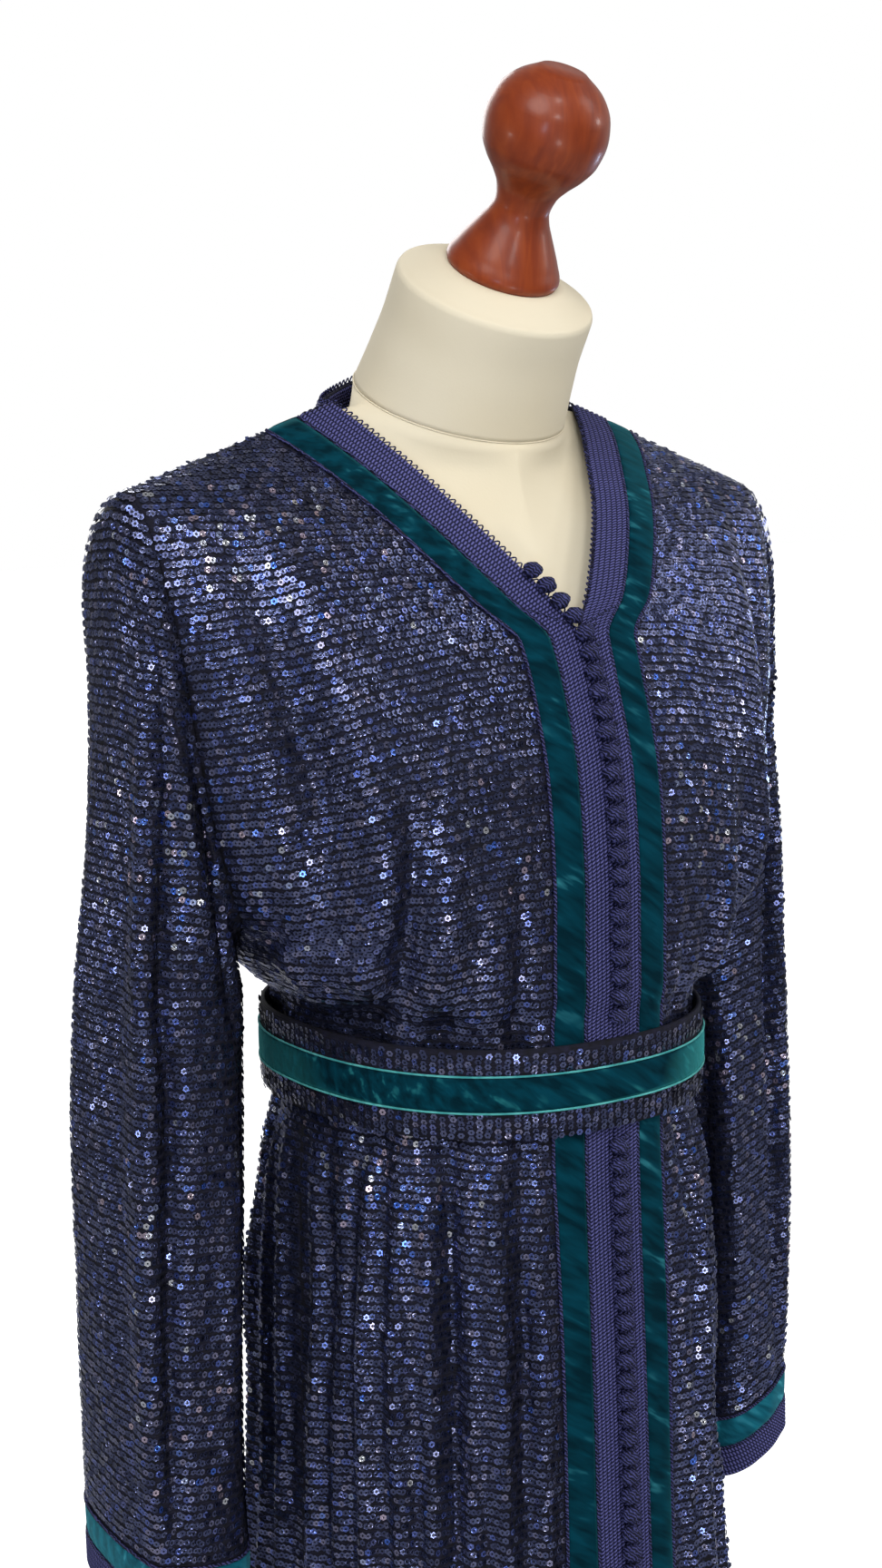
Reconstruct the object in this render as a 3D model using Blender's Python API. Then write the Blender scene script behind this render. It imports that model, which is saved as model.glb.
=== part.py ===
"""A full-length kaftan on a limbless dress form, cut and sewn as its maker would do it.

Metres, +Z up. The origin is on the floor, under the middle of the stand's base. The front of
the kaftan faces -Y, and the wearer's left is +X. Each panel is a grid of rows, from the hem to
the shoulder, and columns, from its inner edge to its side, and each trim takes its points
from the panel that it is sewn to.
"""
import bpy
import bmesh
import numpy as np
from mathutils import Matrix

# Cloth and trims
CLOTH = 0.0018
SEAM = 0.0003
HALF_SEAM = SEAM / 2
BRAID_THICK = 0.0014
VELVET_THICK = 0.0012
BRAID_WIDTH_CLOSURE = 0.0165
BRAID_WIDTH_NECK = 0.0230
VELVET_WIDTH_CLOSURE = 0.0190
VELVET_WIDTH_NECK = 0.0205
BRAID_TO_VELVET = 0.0015
BACK_BAND_GAP = 0.0008
BACK_BAND_STEPS = 31
ROUNDNESS = 2.3
ROOF_RADIUS = 0.020
SECTION_STEPS = 160
OPEN_ROW = 0.001

# Necks and shoulders
NECK_HALF = 0.083
NECK_BACK_DEPTH = 0.062
NECK_COLUMN_SHARE = 0.45
NECK_HUMP_SPREAD = 0.02
V_FOOT_Z = 1.3705
V_TRIM_START = 1.365
V_TRIM_END = 1.395
SHOULDER_HALF = 0.211
SHOULDER_TIP_Z = 1.452
BACK_NECK_Z = 1.522
UNDERARM_Z = 1.200

# Belt
BELT_BOTTOM = 1.1065
BELT_TOP = 1.1555
BELT_OFF_CLOTH = 0.0026
BELT_THICK = 0.0028
BELT_RIBBON_BOTTOM = 1.1215
BELT_RIBBON_TOP = 1.1415
BELT_STEPS = 56

# Knot buttons
KNOT_PITCH = 0.0110
KNOT_RADIUS = 0.0052
KNOT_NECK_RADIUS = 0.0022
KNOT_SIDES = 6
KNOTS_OVER_V = 4
BUTTONS_OFF_BELT = 0.006
BUTTONS_ABOVE_HEM = 0.010
PATH_STEPS = 60

# Cuffs, heights above the hem of the sleeve
CUFF_BRAID_WIDTH = 0.0185
CUFF_VELVET_WIDTH = 0.0195
SLEEVE_ROUNDNESS = 2.7

# Dress form and stand
FORM_STEPS = 32
FORM_CLEARANCE = 0.0004
NECK_RING_RADIUS = 0.0621
NECK_RING_Y = 0.009
NECK_RING_Z = 1.5007
NECK_RING_TILT = np.radians(24.7)
NECK_TOP_Y = -0.0304
NECK_TOP_Z = 1.5620
NECK_TOP_TILT = np.radians(30.75)
# Share of the way up the neck cap, and its radius there
NECK_OUTLINE = ((0.0, NECK_RING_RADIUS), (0.33, 0.0590), (0.66, 0.0570), (0.93, 0.0568),
                (0.985, 0.0555), (1.0, 0.0525), (1.05, 0.0450), (1.10, 0.0375), (1.115, 0.0345))
CAP_TOP_SHARE = 1.115
FINIAL_HEIGHT = 0.1135
POLE_RADIUS = 0.016
BASE_RADIUS = 0.190
BASE_HEIGHT = 0.022
TORSO_BOTTOM_Z = 0.800
FINIAL_STEPS = 24
BASE_STEPS = 48
POLE_STEPS = 16

# A row of the kaftan's body for each station from the hem to the shoulder. The depths are
# measured forwards and backwards from middle_y, the plane of the side and shoulder seams.
BODY_COLUMNS = ("edge_z", "edge_x", "front", "back_z", "back", "hump",
                "side_z", "side_x", "front_side", "back_side", "middle_y")
BODY_ROWS = (
    (0.070, HALF_SEAM, 0.2150, 0.070, 0.2086, 0.0, 0.070, 0.240, HALF_SEAM, HALF_SEAM, 0.000),
    (0.280, HALF_SEAM, 0.1920, 0.280, 0.1900, 0.0, 0.280, 0.206, HALF_SEAM, HALF_SEAM, 0.000),
    (0.500, HALF_SEAM, 0.1700, 0.500, 0.1710, 0.0, 0.500, 0.172, HALF_SEAM, HALF_SEAM, 0.000),
    (0.700, HALF_SEAM, 0.1540, 0.700, 0.1560, 0.0, 0.700, 0.144, HALF_SEAM, HALF_SEAM, 0.001),
    (0.850, HALF_SEAM, 0.1440, 0.850, 0.1450, 0.0, 0.850, 0.124, HALF_SEAM, HALF_SEAM, 0.003),
    (0.960, HALF_SEAM, 0.1395, 0.960, 0.1360, 0.0, 0.960, 0.122, HALF_SEAM, HALF_SEAM, 0.003),
    (1.050, HALF_SEAM, 0.1370, 1.050, 0.1190, 0.0, 1.050, 0.120, HALF_SEAM, HALF_SEAM, 0.005),
    (1.096, HALF_SEAM, 0.1365, 1.096, 0.1105, 0.0, 1.096, 0.117, HALF_SEAM, HALF_SEAM, 0.006),
    (1.164, HALF_SEAM, 0.1365, 1.164, 0.1105, 0.0, 1.164, 0.117, HALF_SEAM, HALF_SEAM, 0.006),
    (1.182, HALF_SEAM, 0.1375, 1.182, 0.1180, 0.0, 1.178, 0.132, HALF_SEAM, HALF_SEAM, 0.005),
    (1.215, HALF_SEAM, 0.1420, 1.212, 0.1190, 0.0, 1.200, 0.150, HALF_SEAM, HALF_SEAM, 0.010),
    (1.235, HALF_SEAM, 0.1430, 1.234, 0.1180, 0.0, 1.222, 0.1640, 0.0290, 0.0440, 0.011),
    (1.260, HALF_SEAM, 0.1415, 1.262, 0.1160, 0.0, 1.250, 0.1760, 0.0370, 0.0600, 0.011),
    (1.300, HALF_SEAM, 0.1370, 1.302, 0.1120, 0.0, 1.290, 0.1870, 0.0400, 0.0690, 0.011),
    (1.340, HALF_SEAM, 0.1260, 1.344, 0.1070, 0.0, 1.330, 0.1945, 0.0410, 0.0710, 0.011),
    (1.370, HALF_SEAM, 0.1150, 1.376, 0.1020, 0.10, 1.360, 0.1985, 0.0400, 0.0680, 0.011),
    (1.392, 0.0135, 0.1050, 1.402, 0.0960, 0.30, 1.379, 0.2015, 0.0385, 0.0640, 0.011),
    (1.415, 0.0295, 0.0890, 1.430, 0.0870, 0.55, 1.400, 0.2045, 0.0350, 0.0580, 0.011),
    (1.440, 0.0465, 0.0680, 1.458, 0.0740, 0.80, 1.423, 0.2075, 0.0290, 0.0470, 0.011),
    (1.465, 0.0620, 0.0420, 1.484, 0.0540, 0.95, 1.440, 0.2098, 0.0190, 0.0300, 0.011),
    (1.485, 0.0750, 0.0185, 1.505, 0.0300, 1.00, 1.449, 0.2110, 0.0095, 0.0150, 0.011),
    (1.497, NECK_HALF, HALF_SEAM, BACK_NECK_Z, HALF_SEAM, 1.0,
     SHOULDER_TIP_Z, SHOULDER_HALF, HALF_SEAM, HALF_SEAM, 0.011),
)

# Gathers. place is the share of the way from the trims to the side seam, depth is how far
# the ridge stands out halfway down the skirt, and width is a share of the panel too.
GATHER_COLUMNS = ("place", "depth", "width")
SKIRT_GATHERS_RIGHT = (
    (0.070, 0.0050, 0.030), (0.185, 0.0085, 0.036), (0.290, 0.0060, 0.030),
    (0.400, 0.0095, 0.038), (0.520, 0.0070, 0.034), (0.640, 0.0100, 0.040),
    (0.770, 0.0065, 0.036), (0.900, 0.0080, 0.036),
)
SKIRT_GATHERS_LEFT = (
    (0.085, 0.0055, 0.032), (0.205, 0.0070, 0.034), (0.320, 0.0090, 0.038),
    (0.430, 0.0060, 0.030), (0.545, 0.0095, 0.040), (0.665, 0.0070, 0.034),
    (0.785, 0.0085, 0.038), (0.905, 0.0060, 0.034),
)
SKIRT_GATHERS_BACK = (
    (0.060, 0.0080, 0.030), (0.200, 0.0060, 0.028), (0.340, 0.0095, 0.034),
    (0.485, 0.0070, 0.030), (0.630, 0.0090, 0.034), (0.780, 0.0065, 0.030),
    (0.915, 0.0080, 0.032),
)
BODICE_GATHERS_RIGHT = ((0.100, 0.0035, 0.050), (0.290, 0.0050, 0.060), (0.520, 0.0045, 0.060),
                        (0.770, 0.0040, 0.060))
BODICE_GATHERS_LEFT = ((0.085, 0.0030, 0.050), (0.320, 0.0045, 0.060), (0.545, 0.0050, 0.060),
                       (0.785, 0.0035, 0.060))
BODICE_GATHERS_BACK = ((0.060, 0.0040, 0.050), (0.340, 0.0050, 0.060), (0.630, 0.0045, 0.060))

# How deep the gathers stand at each height, as shares of their table's depth
GATHER_HEIGHTS = (0.070, 0.500, 0.850, 1.000, 1.070, 1.096)
SKIRT_STRENGTH = (2.10, 1.60, 1.10, 0.85, 0.55, 0.0)
BODICE_HEIGHTS = (1.164, 1.182, 1.215, 1.260, 1.320)
BODICE_STRENGTH = (0.0, 0.8, 1.0, 0.7, 0.0)

# Rings of a sleeve, from the armhole to the hem. The first rings fan round the underarm, and
# blend is the share that a ring has of the cuff's oval, the rest being the armhole's.
SLEEVE_COLUMNS = ("inner_x", "inner_z", "outer_x", "outer_z", "middle_y", "half_depth", "blend")
SLEEVE_HEM_Z = 0.824
SLEEVE_BRAID_TOP = SLEEVE_HEM_Z + CUFF_BRAID_WIDTH
SLEEVE_VELVET_BOTTOM = SLEEVE_BRAID_TOP + BRAID_TO_VELVET
SLEEVE_VELVET_TOP = SLEEVE_VELVET_BOTTOM + CUFF_VELVET_WIDTH
SLEEVE_ROWS = (
    (0.1530, 1.198, 0.2165, 1.4460, 0.0210, 0.056, 0.10),
    (0.1550, 1.196, 0.2180, 1.4300, 0.0240, 0.055, 0.25),
    (0.1560, 1.194, 0.2165, 1.3920, 0.0257, 0.053, 0.45),
    (0.1560, 1.191, 0.2177, 1.3350, 0.0257, 0.051, 0.65),
    (0.1555, 1.186, 0.2222, 1.2600, 0.0265, 0.051, 0.85),
    (0.1535, 1.178, 0.2295, 1.1800, 0.0296, 0.052, 1.00),
    (0.1550, 1.080, 0.2347, 1.0800, 0.0309, 0.056, 1.00),
    (0.1590, 0.970, 0.2360, 0.9700, 0.0325, 0.058, 1.00),
    (0.1620, SLEEVE_VELVET_TOP, 0.2345, SLEEVE_VELVET_TOP, 0.0310, 0.059, 1.00),
    (0.1625, SLEEVE_VELVET_BOTTOM, 0.2340, SLEEVE_VELVET_BOTTOM, 0.0310, 0.059, 1.00),
    (0.1625, SLEEVE_BRAID_TOP, 0.2340, SLEEVE_BRAID_TOP, 0.0310, 0.059, 1.00),
    (0.1630, SLEEVE_HEM_Z, 0.2335, SLEEVE_HEM_Z, 0.0310, 0.060, 1.00),
)
CREASE_TURN = np.radians(-47)
CREASE_SPREAD = np.radians(13)
CREASE_HEIGHT = 0.0040
# How far the hem of each sleeve tips outwards and backwards, as slopes, and its lift
HEM_TIP = {"right": (0.12, 0.05, 0.006), "left": (0.42, 0.12, 0.003)}
HEM_TIP_TOP = 1.15
HEM_TIP_FADE = 0.25

# Rings of the torso. side is the half width, front and back are y, each with its own height.
TORSO_COLUMNS = ("side", "middle_y", "side_z", "front", "front_z", "back", "back_z", "round")
TORSO_ROWS = (
    (0.114, 0.006, TORSO_BOTTOM_Z, -0.098, TORSO_BOTTOM_Z, 0.114, TORSO_BOTTOM_Z, 2.3),
    (0.115, 0.005, 0.870, -0.104, 0.870, 0.116, 0.870, 2.3),
    (0.110, 0.004, 0.980, -0.106, 0.980, 0.106, 0.980, 2.3),
    (0.101, 0.005, 1.125, -0.104, 1.125, 0.090, 1.125, 2.2),
    (0.116, 0.005, 1.200, -0.110, 1.200, 0.093, 1.200, 2.2),
    (0.134, 0.006, 1.270, -0.116, 1.265, 0.098, 1.270, 2.2),
    (0.152, 0.010, 1.330, -0.1085, 1.320, 0.100, 1.335, 2.2),
    (0.172, 0.011, 1.390, -0.0930, 1.362, 0.096, 1.395, 1.9),
    (0.187, 0.011, 1.425, -0.0780, 1.392, 0.088, 1.432, 1.6),
    (0.191, 0.011, 1.443, -0.0680, 1.412, 0.082, 1.455, 1.5),
    (0.183, 0.011, 0.0, -0.0600, 1.428, 0.075, 1.463, 1.4),
    (0.150, 0.011, 0.0, -0.0540, 1.443, 0.071, 1.474, 1.25),
    (0.118, 0.011, 0.0, -0.0505, 1.455, 0.069, 1.484, 1.2),
    (0.088, 0.011, 0.0, -0.0490, 1.465, 0.0675, 1.496, 1.25),
    (0.070, 0.010, 1.4970, -0.0480, 1.471, 0.066, 1.510, 1.6),
)
TORSO_SIDE_CURVE = 1.3
TORSO_SHOULDER_ROLL = 0.012
TORSO_ROLL_START = 1.43
TORSO_ROLL_FADE = 0.02

# Turned outline of the finial: radius and height above the neck's top
FINIAL_PROFILE = (
    (0.0314, 0.0000), (0.0324, 0.0028), (0.0288, 0.0115), (0.0245, 0.0195),
    (0.0203, 0.0270), (0.0172, 0.0330), (0.0155, 0.0390), (0.0170, 0.0470),
    (0.0215, 0.0545), (0.0275, 0.0620), (0.0325, 0.0715), (0.0341, 0.0825),
    (0.0318, 0.0945), (0.0250, 0.1050), (0.0130, FINIAL_HEIGHT),
)
BASE_PROFILE = (
    (BASE_RADIUS - 0.003, 0.0), (BASE_RADIUS, 0.003), (BASE_RADIUS, 0.012),
    (BASE_RADIUS - 0.004, 0.017), (BASE_RADIUS - 0.012, 0.019), (0.040, BASE_HEIGHT),
)

# Colours as linear red, green, blue, with roughness and metallic
SEQUIN_NAVY = ((0.021, 0.022, 0.052), 0.35, 0.4)
VELVET_GREEN = ((0.007, 0.085, 0.072), 0.85, 0.0)
BRAID_NAVY = ((0.030, 0.030, 0.120), 0.70, 0.0)
JERSEY_CREAM = ((0.860, 0.780, 0.600), 0.90, 0.0)
TURNED_WOOD = ((0.230, 0.055, 0.018), 0.30, 0.0)


def clear_scene():
    """Remove whatever the opened file holds."""
    for thing in list(bpy.data.objects):
        bpy.data.objects.remove(thing, do_unlink=True)


def table(columns, rows):
    """Give one array for each named column."""
    return dict(zip(columns, np.array(rows, dtype=float).T))


def unit(vectors):
    """Scale vectors to length one."""
    return vectors / np.linalg.norm(vectors, axis=-1, keepdims=True)


def roof(x, side_x):
    """Share of the way down a shoulder line: the slope of a roof with a rounded ridge."""
    rise = np.sqrt(x ** 2 + ROOF_RADIUS ** 2) - ROOF_RADIUS
    return rise / (np.sqrt(side_x ** 2 + ROOF_RADIUS ** 2) - ROOF_RADIUS)


def shoulder_z(x):
    """Height of the shoulder seam at x."""
    return BACK_NECK_Z + (SHOULDER_TIP_Z - BACK_NECK_Z) * roof(x, SHOULDER_HALF)


def superellipse(edge_x, edge_depth, side_x, side_depth):
    """Points of the superellipse through two points, from the edge to the side.

    (x/a)^n + (depth/d)^n = 1, with a and d from the two equations of the end points.
    """
    n = ROUNDNESS
    powers = np.array([[edge_x ** n, edge_depth ** n], [side_x ** n, side_depth ** n]])
    inverse = np.maximum(np.linalg.solve(powers, np.ones(2)), 1e-9)
    a, d = inverse ** (-1 / n)
    start = np.arctan2((edge_x / a) ** (n / 2), (edge_depth / d) ** (n / 2))
    end = np.arctan2((side_x / a) ** (n / 2), (side_depth / d) ** (n / 2))
    turn = np.linspace(start, end, SECTION_STEPS)
    return a * np.sin(turn) ** (2 / n), d * np.cos(turn) ** (2 / n)


def spread(points, wanted):
    """Points at the wanted distances along a line of points."""
    length = np.concatenate([[0], np.cumsum(np.linalg.norm(np.diff(points, axis=0), axis=1))])
    return np.stack([np.interp(wanted, length, points[:, k]) for k in range(3)], axis=1)


def length_of(points):
    """Length of a line of points."""
    return np.linalg.norm(np.diff(points, axis=0), axis=1).sum()


def neck_share(height):
    """0 at the foot of the V neck and 1 a little above it, for widths that grow there."""
    return np.clip((height - V_TRIM_START) / (V_TRIM_END - V_TRIM_START), 0, 1)


def trim_columns(height):
    """Distances from the inner edge of a front: both edges of the braid and of the velvet."""
    share = neck_share(height)
    braid = BRAID_WIDTH_CLOSURE + (BRAID_WIDTH_NECK - BRAID_WIDTH_CLOSURE) * share
    velvet = VELVET_WIDTH_CLOSURE + (VELVET_WIDTH_NECK - VELVET_WIDTH_CLOSURE) * share
    return np.array([0, braid, braid + BRAID_TO_VELVET, braid + BRAID_TO_VELVET + velvet])


def gather_columns(gathers):
    """Shares across a panel for the ridge of each gather and the trough before it."""
    ridges = table(GATHER_COLUMNS, gathers)["place"]
    troughs = (ridges[:-1] + ridges[1:]) / 2
    return np.sort(np.concatenate([ridges, troughs, [1.0]]))


def gather_height(place, height, skirt, bodice):
    """How far the gathers push the cloth out: a sum of bell curves across the panel."""
    out = np.zeros_like(place)
    for rows, heights, strengths in ((skirt, GATHER_HEIGHTS, SKIRT_STRENGTH),
                                     (bodice, BODICE_HEIGHTS, BODICE_STRENGTH)):
        gather = table(GATHER_COLUMNS, rows)
        away = (place[:, None] - gather["place"]) / gather["width"]
        strength = np.interp(height, heights, strengths,
                             left=0 if rows is bodice else None, right=0)
        out += strength * np.sum(gather["depth"] * np.exp(-away ** 2), axis=1)
    return out


def surface_normals(grid, outward):
    """Unit normals of a grid of points, by central differences along rows and columns."""
    across = np.gradient(grid, axis=1)
    along = np.gradient(grid, axis=0)
    normals = unit(np.cross(across, along))
    facing = np.sum(normals * outward, axis=-1, keepdims=True)
    return normals * np.where(facing.mean() < 0, -1.0, 1.0)


def front_panel(side):
    """Outer points, normals and column names of one front. side is -1 for the right."""
    body = table(BODY_COLUMNS, BODY_ROWS)
    skirt, bodice = ((SKIRT_GATHERS_RIGHT, BODICE_GATHERS_RIGHT) if side < 0 else
                     (SKIRT_GATHERS_LEFT, BODICE_GATHERS_LEFT))
    shares = gather_columns(skirt)
    rows = []
    for k, height in enumerate(body["edge_z"]):
        x, depth = superellipse(body["edge_x"][k], body["front"][k],
                                body["side_x"][k], body["front_side"][k])
        edge_roof = roof(body["edge_x"][k], body["side_x"][k])
        down = (roof(x, body["side_x"][k]) - edge_roof) / (1 - edge_roof)
        edge_z = shoulder_z(NECK_HALF) if k == len(body["edge_z"]) - 1 else height
        z = edge_z + (body["side_z"][k] - edge_z) * down
        line = np.stack([side * x, body["middle_y"][k] - depth, z], axis=1)
        trims = trim_columns(height)
        wanted = np.concatenate([trims, trims[-1] + (length_of(line) - trims[-1]) * shares])
        rows.append(spread(line, wanted))
    grid = np.array(rows)
    middle = np.stack([np.zeros(len(grid)), body["middle_y"], body["side_z"]], axis=1)
    normals = surface_normals(grid, grid - middle[:, None, :])
    place = np.concatenate([np.full(4, -1.0), shares])
    for k, height in enumerate(body["edge_z"]):
        grid[k] += normals[k] * gather_height(place, height, skirt, bodice)[:, None]
    normals = surface_normals(grid, grid - middle[:, None, :])
    return grid, square_seams(normals, body["edge_x"] < OPEN_ROW)


def square_seams(normals, closed_rows):
    """Square the normals to the seams: no y at the side and shoulder, no x at the closure."""
    normals[:, -1, 1] = np.where(table(BODY_COLUMNS, BODY_ROWS)["front_side"] > OPEN_ROW,
                                 normals[:, -1, 1], 0)
    normals[-1, :, 1] = 0
    normals[closed_rows, 0, 0] = 0
    return unit(normals)


def back_panel():
    """Outer points and normals of the back, from the right side round to the left."""
    body = table(BODY_COLUMNS, BODY_ROWS)
    shares = gather_columns(SKIRT_GATHERS_BACK)
    neck_column = int(np.argmin(np.abs(shares - NECK_COLUMN_SHARE)))
    rows = []
    for k, height in enumerate(body["side_z"]):
        side_x = body["side_x"][k]
        x, depth = superellipse(1e-6, body["back"][k], side_x, body["back_side"][k])
        hump_half = NECK_HALF + NECK_HUMP_SPREAD * (1 - body["hump"][k])
        hump = NECK_BACK_DEPTH * np.sqrt(np.clip(1 - (x / hump_half) ** 2, 0, 1))
        depth = np.sqrt(depth ** 2 + (body["hump"][k] * hump) ** 2)
        z = body["back_z"][k] + (height - body["back_z"][k]) * roof(x, side_x)
        line = np.stack([x, body["middle_y"][k] + depth, z], axis=1)
        whole = length_of(line)
        to_neck = length_of(line[x <= NECK_HALF]) / whole
        share = shares.copy()
        if body["hump"][k] > 0:
            target = shares[neck_column] + (to_neck - shares[neck_column]) * body["hump"][k]
            share = np.interp(shares, [0, shares[neck_column], 1], [0, target, 1])
        rows.append(spread(line, whole * np.concatenate([[0], share])))
    half = np.array(rows)
    mirrored = half[:, :0:-1] * (-1, 1, 1)
    grid = np.concatenate([mirrored, half], axis=1)
    middle = np.stack([np.zeros(len(grid)), body["middle_y"], body["side_z"]], axis=1)
    normals = surface_normals(grid, grid - middle[:, None, :])
    half_place = np.concatenate([[0], shares])
    place = np.concatenate([half_place[:0:-1], half_place])
    for k, height in enumerate(body["side_z"]):
        grid[k] += normals[k] * gather_height(place, height, SKIRT_GATHERS_BACK,
                                              BODICE_GATHERS_BACK)[:, None]
    normals = surface_normals(grid, grid - middle[:, None, :])
    at_seam = body["back_side"] < OPEN_ROW
    normals[at_seam, 0, 1] = 0
    normals[at_seam, -1, 1] = 0
    columns = len(shares)
    outside_neck = np.abs(np.arange(2 * columns + 1) - columns) > neck_column
    normals[-1, outside_neck, 1] = 0
    return grid, unit(normals), neck_column


def sleeve_grid(side, front, front_normals, back, back_normals):
    """Rings of one sleeve, starting SEAM outside the armhole, and their normals."""
    rings = table(SLEEVE_COLUMNS, SLEEVE_ROWS)
    body = table(BODY_COLUMNS, BODY_ROWS)
    first = int(np.argmin(np.abs(body["side_z"] - UNDERARM_Z)))
    last_column = -1 if side > 0 else 0
    before_last = -2 if side > 0 else 1
    armhole = np.concatenate([front[first:, -1], back[first + 1:-1, last_column][::-1]])
    normal = np.concatenate([front_normals[first:, -1],
                             back_normals[first + 1:-1, last_column][::-1]])
    inside = np.concatenate([front[first:, -2], back[first + 1:-1, before_last][::-1]])
    top = len(front) - 1 - first
    armhole[[0, top], 1] = body["middle_y"][[first, -1]]
    run = np.roll(armhole, -1, axis=0) - np.roll(armhole, 1, axis=0)
    away = unit(np.cross(run, normal))
    away *= np.sign(np.sum(away * (armhole - inside), axis=1, keepdims=True))
    away[0] = (0, 0, 1)
    start = armhole + SEAM * away
    # Turn round the oval: -180 degrees at the underarm, -90 in front, 0 outside, 90 behind
    step = np.linalg.norm(np.roll(armhole, -1, axis=0) - armhole, axis=1)
    run_front = np.concatenate([[0], np.cumsum(step[:top])]) / step[:top].sum()
    run_back = np.concatenate([[0], np.cumsum(step[top:])]) / step[top:].sum()
    turn = np.concatenate([-np.pi + np.pi * run_front, np.pi * run_back[1:-1]])
    power = 2 / SLEEVE_ROUNDNESS
    cosine = np.sign(np.cos(turn)) * np.abs(np.cos(turn)) ** power
    sine = np.sign(np.sin(turn)) * np.abs(np.sin(turn)) ** power
    crease = CREASE_HEIGHT * np.exp(-((turn - CREASE_TURN) / CREASE_SPREAD) ** 2)
    oval_share = (1 + cosine) / 2
    chord = start[top] - start[0]
    arm_share = ((start - start[0]) @ chord) / (chord @ chord)
    bow = start - start[0] - np.outer(arm_share, chord)
    tip_out, tip_back, lift = HEM_TIP["left" if side > 0 else "right"]
    grid = [start]
    for k, blend in enumerate(rings["blend"]):
        inner = np.array([side * rings["inner_x"][k], 0, rings["inner_z"][k]])
        outer = np.array([side * rings["outer_x"][k], 0, rings["outer_z"][k]])
        share = arm_share + (oval_share - arm_share) * blend
        ring = inner + np.outer(share, outer - inner) + bow * (1 - blend)
        oval_y = rings["middle_y"][k] + rings["half_depth"][k] * sine
        ring[:, 1] = start[:, 1] + (oval_y - start[:, 1]) * blend
        centre = (inner + outer) / 2
        centre[1] = rings["middle_y"][k]
        spoke = ring - centre
        spoke[:, 2] = 0
        ring += unit(spoke) * (crease * blend)[:, None]
        low = np.clip((HEM_TIP_TOP - centre[2]) / HEM_TIP_FADE, 0, 1)
        ring[:, 2] += low * (lift + tip_out * side * (ring[:, 0] - centre[0])
                             + tip_back * (ring[:, 1] - centre[1]))
        grid.append(ring)
    grid = np.array(grid)
    across = np.roll(grid, -1, axis=1) - np.roll(grid, 1, axis=1)
    normals = unit(np.cross(across, np.gradient(grid, axis=0)))
    spokes = grid - grid.mean(axis=1, keepdims=True)
    normals *= np.where(np.sum(normals * spokes) < 0, -1.0, 1.0)
    lean = np.maximum(0, np.sum(normals[0] * away, axis=1, keepdims=True))
    normals[0] = unit(normals[0] - lean * away)
    return grid, normals


def finish_mesh(name, verts, faces, material):
    """Make an object from points and faces, with its faces pointing outwards."""
    mesh = bpy.data.meshes.new(name)
    mesh.from_pydata([tuple(v) for v in verts], [], faces)
    shape = bmesh.new()
    shape.from_mesh(mesh)
    bmesh.ops.recalc_face_normals(shape, faces=shape.faces)
    shape.to_mesh(mesh)
    shape.free()
    mesh.shade_smooth()
    mesh.set_sharp_from_angle(angle=np.radians(50))
    mesh.materials.append(material)
    thing = bpy.data.objects.new(name, mesh)
    bpy.context.scene.collection.objects.link(thing)
    return thing


def sheet(name, outer, inner, material, tube=False, mirror_column=None):
    """A closed wall between two grids of points. A tube's columns join up all round.

    From mirror_column on, the facets' diagonals lean the other way.
    """
    rows, columns = outer.shape[:2]
    verts = np.concatenate([outer.reshape(-1, 3), inner.reshape(-1, 3)])
    under = rows * columns
    faces = []
    around = columns if tube else columns - 1
    for r in range(rows - 1):
        for c in range(around):
            a, b = r * columns + c, r * columns + (c + 1) % columns
            d, e = a + columns, b + columns
            if mirror_column is not None and c >= mirror_column:
                pair = [(a, b, d), (b, e, d)]
            else:
                pair = [(a, b, e), (a, e, d)]
            faces += pair
            faces += [tuple(under + corner for corner in face[::-1]) for face in pair]
    for r, flip in ((0, False), (rows - 1, True)):
        for c in range(around):
            a, b = r * columns + c, r * columns + (c + 1) % columns
            face = (a, under + a, under + b, b)
            faces.append(face[::-1] if flip else face)
    if not tube:
        for c, flip in ((0, True), (columns - 1, False)):
            for r in range(rows - 1):
                a, d = r * columns + c, (r + 1) * columns + c
                face = (a, under + a, under + d, d)
                faces.append(face[::-1] if flip else face)
    return finish_mesh(name, verts, faces, material)


def rings_solid(name, rings, material):
    """A closed solid through rings of points, with a flat face at both ends."""
    count, around = rings.shape[:2]
    faces = [tuple(range(around))[::-1]]
    for r in range(count - 1):
        for c in range(around):
            a, b = r * around + c, r * around + (c + 1) % around
            faces.append((a, b, b + around, a + around))
    faces.append(tuple(range((count - 1) * around, count * around)))
    return finish_mesh(name, rings.reshape(-1, 3), faces, material)


def trim_on(name, grid, normals, first, last, thick, material):
    """A strip between two columns of a panel, from the panel's own points, moved out."""
    base = grid[:, first:last + 1]
    out = normals[:, first:last + 1]
    return sheet(name, base + out * (SEAM + thick), base + out * SEAM, material)


def panel_point(grid, normals, column, row):
    """Points and normals inside a mirrored panel's facets, at shares of columns and rows."""
    c = np.clip(np.floor(column).astype(int), 0, grid.shape[1] - 2)
    r = np.clip(np.floor(row).astype(int), 0, grid.shape[0] - 2)
    u, v = (column - c)[:, None], (row - r)[:, None]

    def mix(values):
        corner, across = values[r, c], values[r, c + 1]
        along, far = values[r + 1, c], values[r + 1, c + 1]
        right = np.where(u >= v, corner + u * (across - corner) + v * (far - across),
                         corner + v * (along - corner) + u * (far - along))
        left = np.where(u + v <= 1, corner + u * (across - corner) + v * (along - corner),
                        far + (1 - u) * (along - far) + (1 - v) * (across - far))
        return np.where(c[:, None] < (grid.shape[1] - 1) // 2, right, left)

    return mix(grid), unit(mix(normals))


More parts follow.
